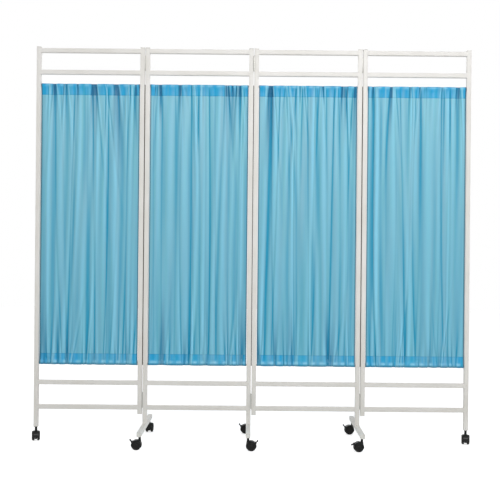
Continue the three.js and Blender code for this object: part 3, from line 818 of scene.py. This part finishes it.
def cloth_marks(rng, settings, across, share, near, lap, pinch, fan, outward):
    """What the cloth's material reads, by strength: where the cloth is doubled, pinched or stitched, the
    valleys and ridges by how far a point stands out from the cloth beside it, for painted shade in the
    valleys and a painted highlight on the ridges and on the folds that fan out in a hem, a painted highlight
    in patches near a rod, and the turned side edges, darker partly as painted shade of the gap beside the
    posts, a mark that also lays painted shade on the fold under the lower rod. A pinch is darker partly as
    the deeper colour of gathered cloth and partly as painted shade."""
    in_hem, upper = near <= lap, share < 0.5
    pinched = np.clip(1.2 * pinch / settings.puff - 0.45, 0, 1)
    relief = (0.6 * levelled(outward, 17) + 1.2 * levelled(outward, 6)) / settings.relief
    # Painted highlight on the folds that fan out in a hem, which also takes away some of the hem's deeper
    # colour
    hem_fold_highlight = in_hem * np.clip(fan, 0, 1)
    patch = np.clip(0.5 + uneven_wave(rng, across + 0.3 * share, 11, 1.4) - 1.2 * pinched, 0, 1)
    # Painted highlight in patches near a rod, where the cloth turns round it
    gleam = np.where(upper, 0.45 * fading(near, 0.007, 2), 0.75 * fading(near - 0.009, 0.006, 2))
    # The turned side edges, darker partly as painted shade of the gap beside the posts
    edge = fading(np.minimum(across, 1 - across) * settings.width, 0.0052, 4)
    seam = lap - 0.0012

    def strength(top_hem, bottom_hem, single):
        return np.where(in_hem, np.where(upper, top_hem, bottom_hem), single)

    return {
        "doubled": in_hem * (1 - 0.75 * hem_fold_highlight),
        # Pinches darker partly as gathered cloth and partly as painted shade
        "pinched": strength(0.88, 0.45, 0.38) * pinched,
        "stitched": fading(near - seam, 0.0009, 2),
        # Painted shade in the valleys and a painted highlight on the ridges, by the relief
        "valley": strength(0.92, 0.5, 0.92) * np.clip(-relief, 0, 1),
        "ridge": strength(0.45, 0.3, 0.75) * (np.clip(relief, 0, 1) + hem_fold_highlight),
        "gleam": gleam * patch,
        # The side edges, and a painted shade along the fold under the lower rod
        "selvedge": np.maximum(0.85 * edge, 0.5 * fading(near, 0.0035, 2) * ~upper),
    }


def gathered_cloth(settings, centre, rod_top, rod_bottom, rod_radius, seed):
    """The surface of one curtain as (rows, columns, 3), with the marks that its material reads and its UV.

    Between the rods y = F - h - q in front. F is the sum of the broad folds, the long pleats and the folds
    that fan out from the rods, h half the gap between the two layers of a pocket, and q the puff less the
    pinches, which fades away from the rods. Behind, y = F + h + q at a rod and F + h - q at the hem's end, so
    that the doubled cloth swells as one. Round a rod it lies at the radius r + q (0.3 + 0.4 |cos a|)."""
    rng = np.random.default_rng(seed)
    width, lap = settings.width, settings.hem - rod_radius - CLOTH_OVER_ROD
    height, angle, layer = cloth_rows(rod_top, rod_bottom, lap)
    x, z = np.meshgrid(np.linspace(0, 1, settings.columns), height)
    turn, side = (np.repeat(v[:, None], settings.columns, 1) for v in (angle, layer))
    below, above = rod_top - z, z - rod_bottom
    near, share = np.minimum(below, above), below / (rod_top - rod_bottom)
    broad = broad_folds(rng, x, share, below, above)
    long_pleats = pleats(rng, x, share, width, settings.pleat)
    folds = settings.fold_depth * broad + long_pleats - long_pleats.mean(1, keepdims=True)
    folds *= (1 - fading(below, 0.022)) * (1 - fading(above, 0.022))
    # The middles of the bunches in which the cloth gathers on the upper and on the lower rod
    high, low = ((np.arange(n) + rng.uniform(0.1, 0.9, n)) / n * width for n in (5, 6))
    fan = fans(rng, x, below, width, 20, 0.30, high)
    fan += fans(rng, x, above, width, 20, 0.19, low)
    folds -= settings.fan * fan * (1 - fading(near, 0.012))
    pinch = pinches(rng, x, below, width, settings.puff, 22, high)
    pinch += pinches(rng, x, above, width, settings.puff, 26, low)
    swell = settings.puff * (fading(below, 0.05) + fading(above, 0.05)) - pinch
    # Close to a rod no pinch goes deeper than the rod's surface
    swell = np.where(swell < 0, swell * (1 - fading(near, 0.010, 2)), swell)
    ring, apart = rod_radius + 0.0007, 0.0003
    gap = apart + (ring - apart) * fading(near, 0.012, 1.6)
    behind = folds + gap + swell * (2 * fading(near, 0.016, 2) - 1)
    round_rod, bend = ~np.isnan(turn), np.nan_to_num(turn)
    radius = ring + swell * (0.3 + 0.4 * np.abs(np.cos(bend)))
    rod_height = np.where(share < 0.5, rod_top, rod_bottom)
    y = np.where(round_rod, radius * np.cos(bend), np.where(side < 0, folds - gap - swell, behind))
    z = np.where(round_rod, rod_height + radius * np.sin(bend), z)
    grid = np.stack([centre + width * (x - 0.5), y, z], -1)
    outward = np.where(round_rod, radius, y * side)
    marks = cloth_marks(rng, settings, x, share, near, lap, pinch, fan, outward)
    walked = distances(grid.mean(1)[:, 1:])
    uv = np.stack([x * settings.flat_width, np.repeat(walked[:, None], settings.columns, 1)], -1)
    return grid, marks, uv


class WARDSCREEN_OT_curtains(bpy.types.Operator):
    """Hang the four gathered curtains on their rods"""

    bl_idname = "ward_screen.curtains"
    bl_label = "Curtains"

    def execute(self, context):
        settings = context.scene.ward_screen.curtain
        cloth = curtain_cloth(settings)
        for number in PANELS:
            node_name, rods = f"curtain_{number}", [f"rod_top_{number}", f"rod_bottom_{number}"]
            top, bottom = (middle_of(rod)[2] for rod in rods)
            radius, centre = extent_of(rods[0])[2] / 2, middle_of(node_name)[0]
            grid, marks, uv = gathered_cloth(settings, centre, top, bottom, radius, 40 + number)
            surfaces = Surfaces()
            surfaces.add(grid, ring=False, ends=False)
            mesh = bpy.data.meshes.new(f"curtain_cloth_{number}")
            mesh.from_pydata(surfaces.points[0].tolist(), [], surfaces.faces)
            for name, values in marks.items():
                write_mark(mesh, name, values)
            corner = np.zeros(len(mesh.loops), np.int32)
            mesh.loops.foreach_get("vertex_index", corner)
            laid_flat = uv.reshape(-1, 2)[corner].astype(np.float32)
            mesh.uv_layers.new(name="Cloth").data.foreach_set("uv", laid_flat.ravel())
            mesh.shade_smooth()
            mesh.materials.append(cloth)
            piece = bpy.data.objects.new(mesh.name, mesh)
            context.scene.collection.objects.link(piece)
            thick = piece.modifiers.new("ply", "SOLIDIFY")
            thick.thickness, thick.offset = settings.ply, 0
            settle(piece, node_name)
        return {"FINISHED"}


class WARDSCREEN_OT_rods(bpy.types.Operator):
    """Give the curtain rods their plated finish"""

    bl_idname = "ward_screen.rods"
    bl_label = "Curtain Rods"

    def execute(self, context):
        zinc = zinc_plate(context.scene.ward_screen.hinge)
        for number in PANELS:
            for level in ("top", "bottom"):
                name = f"rod_{level}_{number}"
                low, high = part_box(name)
                radius, rod = (high.z - low.z) / 2, Surfaces()
                profile = rod_profile(radius, low.x, high.x, radius * 0.2, 0.001)
                rod.turn(profile, 24, "X", (0, 0, middle_of(name)[2]))
                settle(rod.piece(f"curtain_rod_{level}_{number}", zinc), name)
        return {"FINISHED"}


# Hinges


def knuckle_form(settings, start, end):
    """The profile of a knuckle's wall from start to end, with eased edges."""
    hole, barrel, ease = settings.pin + 0.0001, settings.barrel, 0.00035
    profile = [(hole, start + ease), (hole + ease, start), (barrel - ease, start), (barrel, start + ease)]
    return profile + [(barrel, end - ease), (barrel - ease, end), (hole + ease, end), (hole, end - ease)]


def pin_form(settings, half):
    """The profile of a hinge's pin, with a low domed head over its upper end."""
    pin, head, rise, edge = settings.pin, 0.0042, 0.0014, 0.0003
    dome = np.linspace(0, np.pi / 2, 6)[1:-1]
    across, up = head * np.cos(dome), half + edge + (rise - edge) * np.sin(dome)
    profile = [(0, -half), (pin, -half), (pin, half), (head * 0.92, half), (head, half + edge)]
    return [*profile, *zip(across, up), (0, half + rise)]


def hinge_leaf(settings, side, has_pin):
    """One leaf round its hinge's middle: a plate between the posts, and its knuckles on the pin's line. The
    leaf with the pin has the outer two of the three, and the other leaf the middle one."""
    leaf, half, gap = Surfaces(), settings.height / 2, 0.0005
    low, high = sorted(side * (settings.play / 2 + depth) for depth in (0, settings.leaf))
    middle = settings.pin_offset - settings.barrel - gap - settings.reach / 2
    plate = rectangle(settings.reach, settings.height, 0.0022) + [middle, 0]
    leaf.add(carried(plate, soft_ends(low, high, 0.0002, 3), "X"))
    pitch, neck_end = settings.height / 3, settings.pin_offset - settings.pin
    for index in (0, 2) if has_pin else (1,):
        start = -half + index * pitch + gap / 2
        end = start + pitch - gap
        neck = rectangle(neck_end - middle, end - start, 0.0004, 3)
        neck = neck + [(middle + neck_end) / 2, (start + end) / 2]
        leaf.add(carried(neck, [(low, 0), (high, 0)], "X"))
        knuckle = turned(knuckle_form(settings, start, end), 28)
        leaf.add(knuckle + [0, settings.pin_offset, 0], loop=True)
    if has_pin:
        leaf.turn(pin_form(settings, half), 28, by=(0, settings.pin_offset, 0))
    return leaf


class WARDSCREEN_OT_hinges(bpy.types.Operator):
    """Build the two leaves of each of the six butt hinges"""

    bl_idname = "ward_screen.hinges"
    bl_label = "Butt Hinges"

    def execute(self, context):
        settings = context.scene.ward_screen.hinge
        zinc = zinc_plate(settings)
        for number, (fold, (pin_side, pinned_side)) in enumerate(FOLDS.items(), 1):
            x = (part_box(f"frame_{number}")[1].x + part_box(f"frame_{number + 1}")[0].x) / 2
            for level in ("lower", "upper"):
                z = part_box(f"hinge_{fold}_{level}_pin_leaf")[0].z + settings.height / 2
                for kind, has_pin in (("pin_leaf", True), ("free_leaf", False)):
                    name = f"hinge_{fold}_{level}_{kind}"
                    side = pinned_side * pin_side * (1 if has_pin else -1)
                    leaf = hinge_leaf(settings, side, has_pin)
                    leaf.move((x, 0, z), 180 if pin_side < 0 else 0)
                    settle(leaf.piece(f"butt_{fold}_{level}_{kind}", zinc), name)
        return {"FINISHED"}


class WARDSCREEN_OT_strips(bpy.types.Operator):
    """Stick a dark strip to the left-hand post of each fold, over the height of the curtains, as the painted
    shadow in the gap between the posts
    """

    bl_idname = "ward_screen.strips"
    bl_label = "Fold Strips"

    def execute(self, context):
        settings, tube = context.scene.ward_screen.hinge, context.scene.ward_screen.tube
        # The strip's dark colour is painted shadow in the gap between the posts
        fold_shade = shared("strip_rubber", moulded, settings.strip, 0.6, 0.05, 0.3)
        low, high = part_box("rod_bottom_1")[0].z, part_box("rod_top_1")[1].z
        thick = settings.strip_thickness
        for number, fold in enumerate(FOLDS, 1):
            name, strip = f"frame_{number}", Surfaces()
            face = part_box(name)[1].x - tube.cap_overhang
            outline = rectangle(thick, settings.strip_depth, 0.0008) + [face + thick / 2, 0]
            strip.add(carried(outline, soft_ends(low, high, 0.0006), "Z"))
            fasten(strip.piece(f"fold_strip_{fold}", fold_shade), name)
        return {"FINISHED"}


# Casters, each drawn over the origin and trailing along +X


def stem_form(settings, bottom, seat):
    """The stem as one turned profile: a plain pin up to the collar's seat and a threaded shank over it. The
    thread is a ripple of radius s - d (1 - sin(2 pi z / p)) on the shank's radius s, with the depth d and the
    pitch p."""
    pin, top = settings.stem_pin, seat + settings.gap + settings.shank_length
    core, depth, pitch = settings.shank, 0.00025, 0.00125
    shank = np.linspace(seat, top - 0.0016, 61)
    thread = core - depth * (1 - np.sin(TURN * (shank - seat) / pitch))
    profile = [(0, bottom), (pin - 0.0003, bottom), (pin, bottom + 0.0004), (pin, seat), *zip(thread, shank)]
    return profile + [(core * 0.78, top - 0.0012), (core * 0.75, top), (0, top)]


def collar_form(settings, radius, seat):
    """The collar under the tube, turned. Its cup opens from the neck's radius n to the rim's R over the
    height h: r = n + (R - n) t^1.6, z = low + h t."""
    low = seat - settings.collar + 2 * settings.gap
    share = np.linspace(0, 1, 9)
    cup = settings.neck + (radius - settings.neck) * share**1.6
    height = low + 0.0003 + (seat - low - 0.0014) * share
    profile = [(0, low), (settings.neck - 0.0003, low), *zip(cup, height)]
    return profile + [(radius, seat - 0.0003), (radius - 0.0003, seat), (0, seat)]


def pushed_out(points, axle, least):
    """Points moved straight away from the axle, so that none is nearer to it than the least distance."""
    offset = points - axle
    far = np.linalg.norm(offset, axis=-1, keepdims=True)
    return axle + offset / far * np.maximum(far, least)


def hood_cover(settings, wheel, outer, inner):
    """The cover over the wheels: a thin rounded section carried round the axle from one skirt to the other,
    x = t + r cos a, z = w + r sin a. At each shoulder the radius r falls away as the side comes near."""
    shoulder, droop, skirt_drop = 0.0080, 0.0034, 0.004
    places, half_width = np.linspace(-1, 1, 25) * settings.half_width, settings.half_width
    over = np.stack([places, np.full(25, outer)], -1)
    under = np.stack([places[::-1], np.full(25, inner)], -1)
    across, radius = rounded(np.vstack([over, under]), 0.0006, 3).T
    near = np.clip(1 - (half_width - np.abs(across)) / shoulder, 0, 1)
    radius = radius - droop * near**2
    skirt = math.asin(-skirt_drop / outer)
    angle = np.linspace(skirt, np.pi - skirt, 57)[:, None]
    x, z = settings.trail + radius * np.cos(angle), wheel + radius * np.sin(angle)
    return np.stack([x, np.repeat(across[None], 57, 0), z], -1)


def hood_web(settings, wheel, outer):
    """The web between the wheels: a disc round the axle that is cut off level below."""
    cut, reach = 0.010, outer - 0.0004
    level = math.asin((cut - wheel) / reach)
    sweep = np.linspace(level, np.pi - level, 73)
    disc = np.stack([settings.trail + reach * np.cos(sweep), wheel + reach * np.sin(sweep)], -1)
    return carried(disc, soft_ends(-settings.web, settings.web, 0.0006, 3), "Y")


def hood_neck(settings, wheel, middle, top):
    """The neck round the stem's pin, turned and widening downwards, with the pin's socket in its top. Where a
    point of its outside would come nearer the axle than the middle of the cover's wall, it's pushed out to
    it, so that the neck runs into the cover with no seam."""
    share, spread, ease = np.linspace(0, 1, 17), 0.0037, 0.0004
    foot, waist = wheel + 0.003, top - 0.0085
    flare = settings.neck + spread * (1 - share) ** 1.15
    hole, floor = settings.stem_pin + settings.gap, top - settings.socket
    profile = [*zip(flare, foot + (waist - foot) * share), (settings.neck, top - ease)]
    profile += [(settings.neck - ease, top), (hole + 0.0003, top), (hole, top - ease), (hole, floor)]
    neck = turned(profile, 48)
    outside = neck[: len(share), :, ::2]
    outside[:] = pushed_out(outside, np.array([settings.trail, wheel]), middle)
    return neck


def lever_pivot(settings, wheel):
    """The place of the lever's pin along and up, a millimetre out from the hood."""
    reach = wheel + settings.hood_space + 0.001
    return np.array([settings.trail, wheel]) + reach * PIN_WAY


def ear_outline(settings, wheel, inner):
    """The outline of the two ears that carry the lever's pin: a stadium from the hood out to the pin. Any
    point of it that is nearer the axle than the inside of the hood is pushed out, clear of the wheels."""
    radius, root, angle = 0.0040, 0.0042, np.arange(40) * TURN / 40
    ring = radius * np.stack([np.cos(angle), np.sin(angle)], -1)
    inward = (ring @ PIN_WAY < 0)[:, None] * PIN_WAY * root
    stadium = lever_pivot(settings, wheel) + ring - inward
    return pushed_out(stadium, np.array([settings.trail, wheel]), inner + 0.0004)


def hood_form(settings, wheel, neck_top, has_brake):
    """The hood over its wheels: a cover, a web and a neck and, with a brake, the lever's two ears."""
    hood, outer = Surfaces(), wheel + settings.hood_space
    inner = outer - settings.hood_wall
    hood.add(hood_cover(settings, wheel, outer, inner))
    hood.add(hood_web(settings, wheel, outer))
    hood.add(hood_neck(settings, wheel, outer - settings.hood_wall / 2, neck_top))
    if has_brake:
        outline, start = ear_outline(settings, wheel, inner), settings.lever_width / 2 + settings.gap
        for side in (-1, 1):
            low, high = sorted((side * start, side * (start + settings.ear)))
            hood.add(carried(outline, soft_ends(low, high, 0.0004, 3), "Y"))
    return hood


def lever_form(settings):
    """The brake lever along +X from its pin: a pedal of even thickness up to a raised lip, with three grip
    ribs on it, a hub round the pin and the pin's two round ends."""
    form, half = Surfaces(), settings.lever_thickness / 2
    tip, thick, wide = settings.lever_length, settings.lever_thickness, settings.lever_width / 2
    lip = [(tip, thick), (tip - thick, thick), (tip - 2 * thick, half)]
    side_view = rounded([(-half, -half), (tip, -half), *lip, (-half, half)], 0.0009, 5)
    form.add(carried(side_view, soft_ends(-wide, wide, 0.0008, 4), "Y"))
    rib_end, rib_pitch = wide - 0.0014, 0.0012
    for index in range(3):
        rib = rectangle(0.0007, 0.0009, 0.0003, 3) + [tip - 0.0008 - index * rib_pitch, thick]
        form.add(carried(rib, soft_ends(-rib_end, rib_end, 0.0003, 3), "Y"))
    form.turn(rod_profile(0.0025, -wide, wide, 0.0004, 0.0004), 28, "Y")
    pin_end = wide + settings.ear
    form.turn(rod_profile(0.0014, -pin_end, pin_end, 0.0003, 0.0003), 20, "Y")
    return form


def wheel_forms(settings, wheel):
    """Two wheels on one axle. A face is a turned profile whose dish is broken by seven low spokes,
    y = dish + d cos^8(7 a / 2) between the hub and the rim. Outside, the tread is rounded down to the rim."""
    pair, inner, outer = Surfaces(), settings.half_space, settings.half_width
    # The front of the hub and the dish: radius, and distance in from the wheel's outer side
    hub = [
        (0, 0.0008), (0.0030, 0.0008), (0.0036, 0.0012), (0.0066, 0.0012), (0.0072, 0.0016),
        (0.0080, 0.0022), (0.0100, 0.0023), (0.0125, 0.0023),
    ]
    # From the dish over the rim to the tread: depth in from the tread, and distance in from the outer side
    rim = [
        (0.0076, 0.0022), (0.0070, 0.0020), (0.0064, 0.0012), (0.0058, 0.0004), (0.0050, 0.0001),
        (0.0037, 0.0007), (0.0026, 0.0015), (0.0015, 0.0027), (0.0006, 0.0042), (0.0001, 0.0056),
        (0.0003, 0.0060), (0.0003, 0.0066), (0, 0.0070),
    ]
    # From the tread down the inner side: depth in from the tread, and distance in from that side
    back = [(0, 0.0026), (0.0004, 0.0012), (0.0012, 0.0003), (0.0020, 0), (0.0045, 0.0004)]
    # The back of the hub: radius, and distance in from the inner side
    boss = [(0.0070, 0.0010), (0.0062, 0), (0.0028, 0)]
    line = [(r, outer - y) for r, y in hub] + [(wheel - depth, outer - y) for depth, y in rim]
    line += [(wheel - depth, inner + y) for depth, y in back] + [(r, inner + y) for r, y in boss]
    radius, along = np.array(line).T
    sides, spoke_height = 84, 0.0011
    angle = np.arange(sides) * TURN / sides
    spoke = np.cos(3.5 * angle) ** 8
    dished = fading(radius - 0.0114, 0.0034, 4) * (along > (inner + outer) / 2)
    y = along[:, None] + spoke_height * np.outer(dished, spoke)
    x, z = np.outer(radius, np.cos(angle)), np.outer(radius, np.sin(angle))
    for side in (-1, 1):
        pair.add(np.stack([x, side * y, z], -1))
    bar, axle = inner + 0.0005, 0.0030
    pair.turn([(0, -bar), (axle, -bar), (axle, bar), (0, bar)], 24, "Y")
    return pair


class WARDSCREEN_OT_casters(bpy.types.Operator):
    """Build the eight twin-wheel casters with their stems, hoods and brake levers"""

    bl_idname = "ward_screen.casters"
    bl_label = "Casters"

    def execute(self, context):
        settings = context.scene.ward_screen.caster
        nylon = shared("moulded_nylon", moulded, settings.nylon, 0.30, 0.01, 0.24)
        tread = shared("worn_wheel", rubber_tread, settings.tread)
        zinc = zinc_plate(context.scene.ward_screen.hinge)
        for place in CASTERS:
            stem_node, hood_node, wheel_node, brake_node = (
                f"caster_{place}_{part}" for part in ("stem", "hood", "wheels", "brake")
            )
            stem_low, stem_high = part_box(stem_node)
            at = middle_of(stem_node) * [1, 1, 0]
            way = middle_of(wheel_node) - at
            heading = math.degrees(math.atan2(way[1], way[0]))
            wheel = extent_of(wheel_node)[2] / 2
            seat = stem_high.z - settings.shank_length - settings.gap
            stem, collar = Surfaces(), Surfaces()
            stem.turn(stem_form(settings, stem_low.z, seat), 40)
            stem.move(at)
            settle(stem.piece(f"stem_{place}", zinc), stem_node)
            collar.turn(collar_form(settings, extent_of(stem_node)[0] / 2, seat), 48)
            collar.move(at)
            fasten(collar.piece(f"collar_{place}", nylon), stem_node)
            neck_top = seat + settings.gap - settings.collar
            hood = hood_form(settings, wheel, neck_top, place in LEVERS)
            hood.move(at, heading)
            settle(hood.piece(f"hood_{place}", nylon), hood_node)
            pair, axle = wheel_forms(settings, wheel), np.array([settings.trail, 0, wheel])
            pair.move(axle)
            pair.move(at, heading)
            rolled = pair.piece(f"wheels_{place}", tread, 40)
            mark_tread(rolled.data, moved(axle, at, heading), heading, wheel)
            settle(rolled, wheel_node)
            if place in LEVERS:
                lever, (x, z) = lever_form(settings), lever_pivot(settings, wheel)
                lever.points = [tilted(points, LEVERS[place]) for points in lever.points]
                lever.move((x, 0, z))
                lever.move(at, heading)
                settle(lever.piece(f"brake_{place}", nylon), brake_node)
        return {"FINISHED"}


def mark_tread(mesh, axle, heading, wheel):
    """Marks a wheel's rolling surface: 0 where a point lies 1.2 mm or more inside the wheel's radius, and 1
    from 0.4 mm inside it outwards."""
    points = np.zeros(len(mesh.vertices) * 3, np.float32)
    mesh.vertices.foreach_get("co", points)
    offset = points.reshape(-1, 3) - axle
    along = np.array([math.cos(math.radians(heading)), math.sin(math.radians(heading)), 0])
    far = np.hypot(offset @ along, offset[:, 2])
    write_mark(mesh, "worn", np.clip((far - wheel + 0.0012) / 0.0008, 0, 1))


# Stage


# Each lamp's place, its width and height, and the setting that holds its power
LAMPS = {
    "front_light": ((0.7, -3.5, 2.9), (2.4, 2.0), "key"),
    "left_light": ((-3.2, -1.4, 1.6), (1.6, 2.2), "fill"),
    "right_light": ((3.2, -1.4, 1.6), (1.6, 2.2), "fill"),
    "back_light": ((-0.7, 3.5, 2.9), (2.4, 2.0), "back"),
}
LAMP_TARGET = Vector((0, 0, 0.9))
FLOOR_REACH = 9.0
# The floor lies a little under the wheels, so that the two never share a plane
FLOOR_DROP = 4e-4


class WARDSCREEN_OT_stage(bpy.types.Operator):
    """Set the pale floor, the soft lights and the camera"""

    bl_idname = "ward_screen.stage"
    bl_label = "Stage"

    def execute(self, context):
        settings, scene = context.scene.ward_screen.stage, context.scene
        lay_floor(scene)
        light_room(scene, settings.sky)
        for name, (place, size, setting) in LAMPS.items():
            hang_lamp(scene, name, Vector(place), size, getattr(settings, setting))
        camera = bpy.data.objects.new("camera", bpy.data.cameras.new("camera"))
        scene.collection.objects.link(camera)
        camera.data.lens, camera.data.sensor_width, camera.data.sensor_fit = settings.lens, 36, "HORIZONTAL"
        upright = Matrix.Rotation(math.radians(90), 4, "X") @ Matrix.Rotation(settings.roll, 4, "Z")
        place = Matrix.Translation((settings.sideways, -settings.distance, settings.height))
        camera.matrix_world = place @ upright
        scene.camera = camera
        scene.view_settings.view_transform = "Standard"
        return {"FINISHED"}


def lay_floor(scene):
    mesh, signs = bpy.data.meshes.new("floor"), ((-1, -1), (1, -1), (1, 1), (-1, 1))
    corners = [(x * FLOOR_REACH, y * FLOOR_REACH, -FLOOR_DROP) for x, y in signs]
    mesh.from_pydata(corners, [], [(0, 1, 2, 3)])
    mesh.materials.append(floor_paint())
    floor = bpy.data.objects.new("floor", mesh)
    scene.collection.objects.link(floor)


def hang_lamp(scene, name, place, size, watts):
    """A rectangular lamp that faces the middle of the screen."""
    light = bpy.data.lights.new(name, "AREA")
    light.shape, light.size, light.size_y, light.energy = "RECTANGLE", *size, watts
    lamp = bpy.data.objects.new(name, light)
    scene.collection.objects.link(lamp)
    aim = (LAMP_TARGET - place).to_track_quat("-Z", "Y")
    lamp.matrix_world = Matrix.Translation(place) @ aim.to_matrix().to_4x4()


def light_room(scene, strength):
    """The room gives an even light, and shows as white to the camera, to gloss and through glass."""
    world = bpy.data.worlds.new("room")
    scene.world = world
    world.use_nodes = True
    tree = world.node_tree
    tree.nodes.clear()
    lit, white = (
        node(tree, "ShaderNodeBackground", {"Color": (1, 1, 1, 1), "Strength": share}).outputs[0]
        for share in (strength, 1.0)
    )
    both = node(tree, "ShaderNodeMixShader", {0: seen_directly(tree), 1: lit, 2: white}).outputs[0]
    node(tree, "ShaderNodeOutputWorld", {"Surface": both})


def seen_directly(tree):
    """1 for a ray of the camera, of gloss or of transmission, as a socket."""
    path = node(tree, "ShaderNodeLightPath")
    total = computed(tree, "ADD", path.outputs["Is Camera Ray"], path.outputs["Is Glossy Ray"])
    total = computed(tree, "ADD", total, path.outputs["Is Transmission Ray"])
    return computed(tree, "MINIMUM", total, 1.0)


def floor_paint():
    """A pale floor that takes the shadow, and that the camera sees lifted to white away from it."""
    material, tree = new_tree("floor_paint")
    paint = node(tree, "ShaderNodeBsdfDiffuse", {"Color": (0.8, 0.8, 0.8, 1)}).outputs[0]
    lift = computed(tree, "MULTIPLY", seen_directly(tree), 0.68)
    glow = node(tree, "ShaderNodeEmission", {"Color": (1, 1, 1, 1), "Strength": lift}).outputs[0]
    return finished(tree, material, node(tree, "ShaderNodeAddShader", {0: paint, 1: glow}).outputs[0])


# The add-on


class WARDSCREEN_PT_panel(bpy.types.Panel):
    """The screen's settings and the buttons that build its pieces"""

    bl_label = "Ward Screen"
    bl_idname = "WARDSCREEN_PT_panel"
    bl_space_type = "VIEW_3D"
    bl_region_type = "UI"
    bl_category = "Ward Screen"

    def draw(self, context):
        for name in ("tube", "curtain", "hinge", "caster", "stage"):
            group, box = getattr(context.scene.ward_screen, name), self.layout.box()
            box.label(text=name.title())
            for key in group.__annotations__:
                box.prop(group, key)
        for operator in BUILDERS:
            self.layout.operator(operator.bl_idname)


BUILDERS = (
    WARDSCREEN_OT_stage, WARDSCREEN_OT_frames, WARDSCREEN_OT_feet, WARDSCREEN_OT_rods,
    WARDSCREEN_OT_curtains, WARDSCREEN_OT_hinges, WARDSCREEN_OT_strips, WARDSCREEN_OT_casters,
)
CLASSES = (
    TubeSettings, CurtainSettings, HingeSettings, CasterSettings, StageSettings, ScreenSettings,
    *BUILDERS, WARDSCREEN_PT_panel,
)


def register():
    for kind in CLASSES:
        bpy.utils.register_class(kind)
    bpy.types.Scene.ward_screen = PointerProperty(type=ScreenSettings)


def unregister():
    del bpy.types.Scene.ward_screen
    for kind in reversed(CLASSES):
        bpy.utils.unregister_class(kind)


def main():
    """Builds the whole screen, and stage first."""
    register()
    bpy.ops.ward_screen.stage()
    bpy.ops.ward_screen.frames()
    bpy.ops.ward_screen.feet()
    bpy.ops.ward_screen.rods()
    bpy.ops.ward_screen.curtains()
    bpy.ops.ward_screen.hinges()
    bpy.ops.ward_screen.strips()
    bpy.ops.ward_screen.casters()


if __name__ == "__main__":
    main()
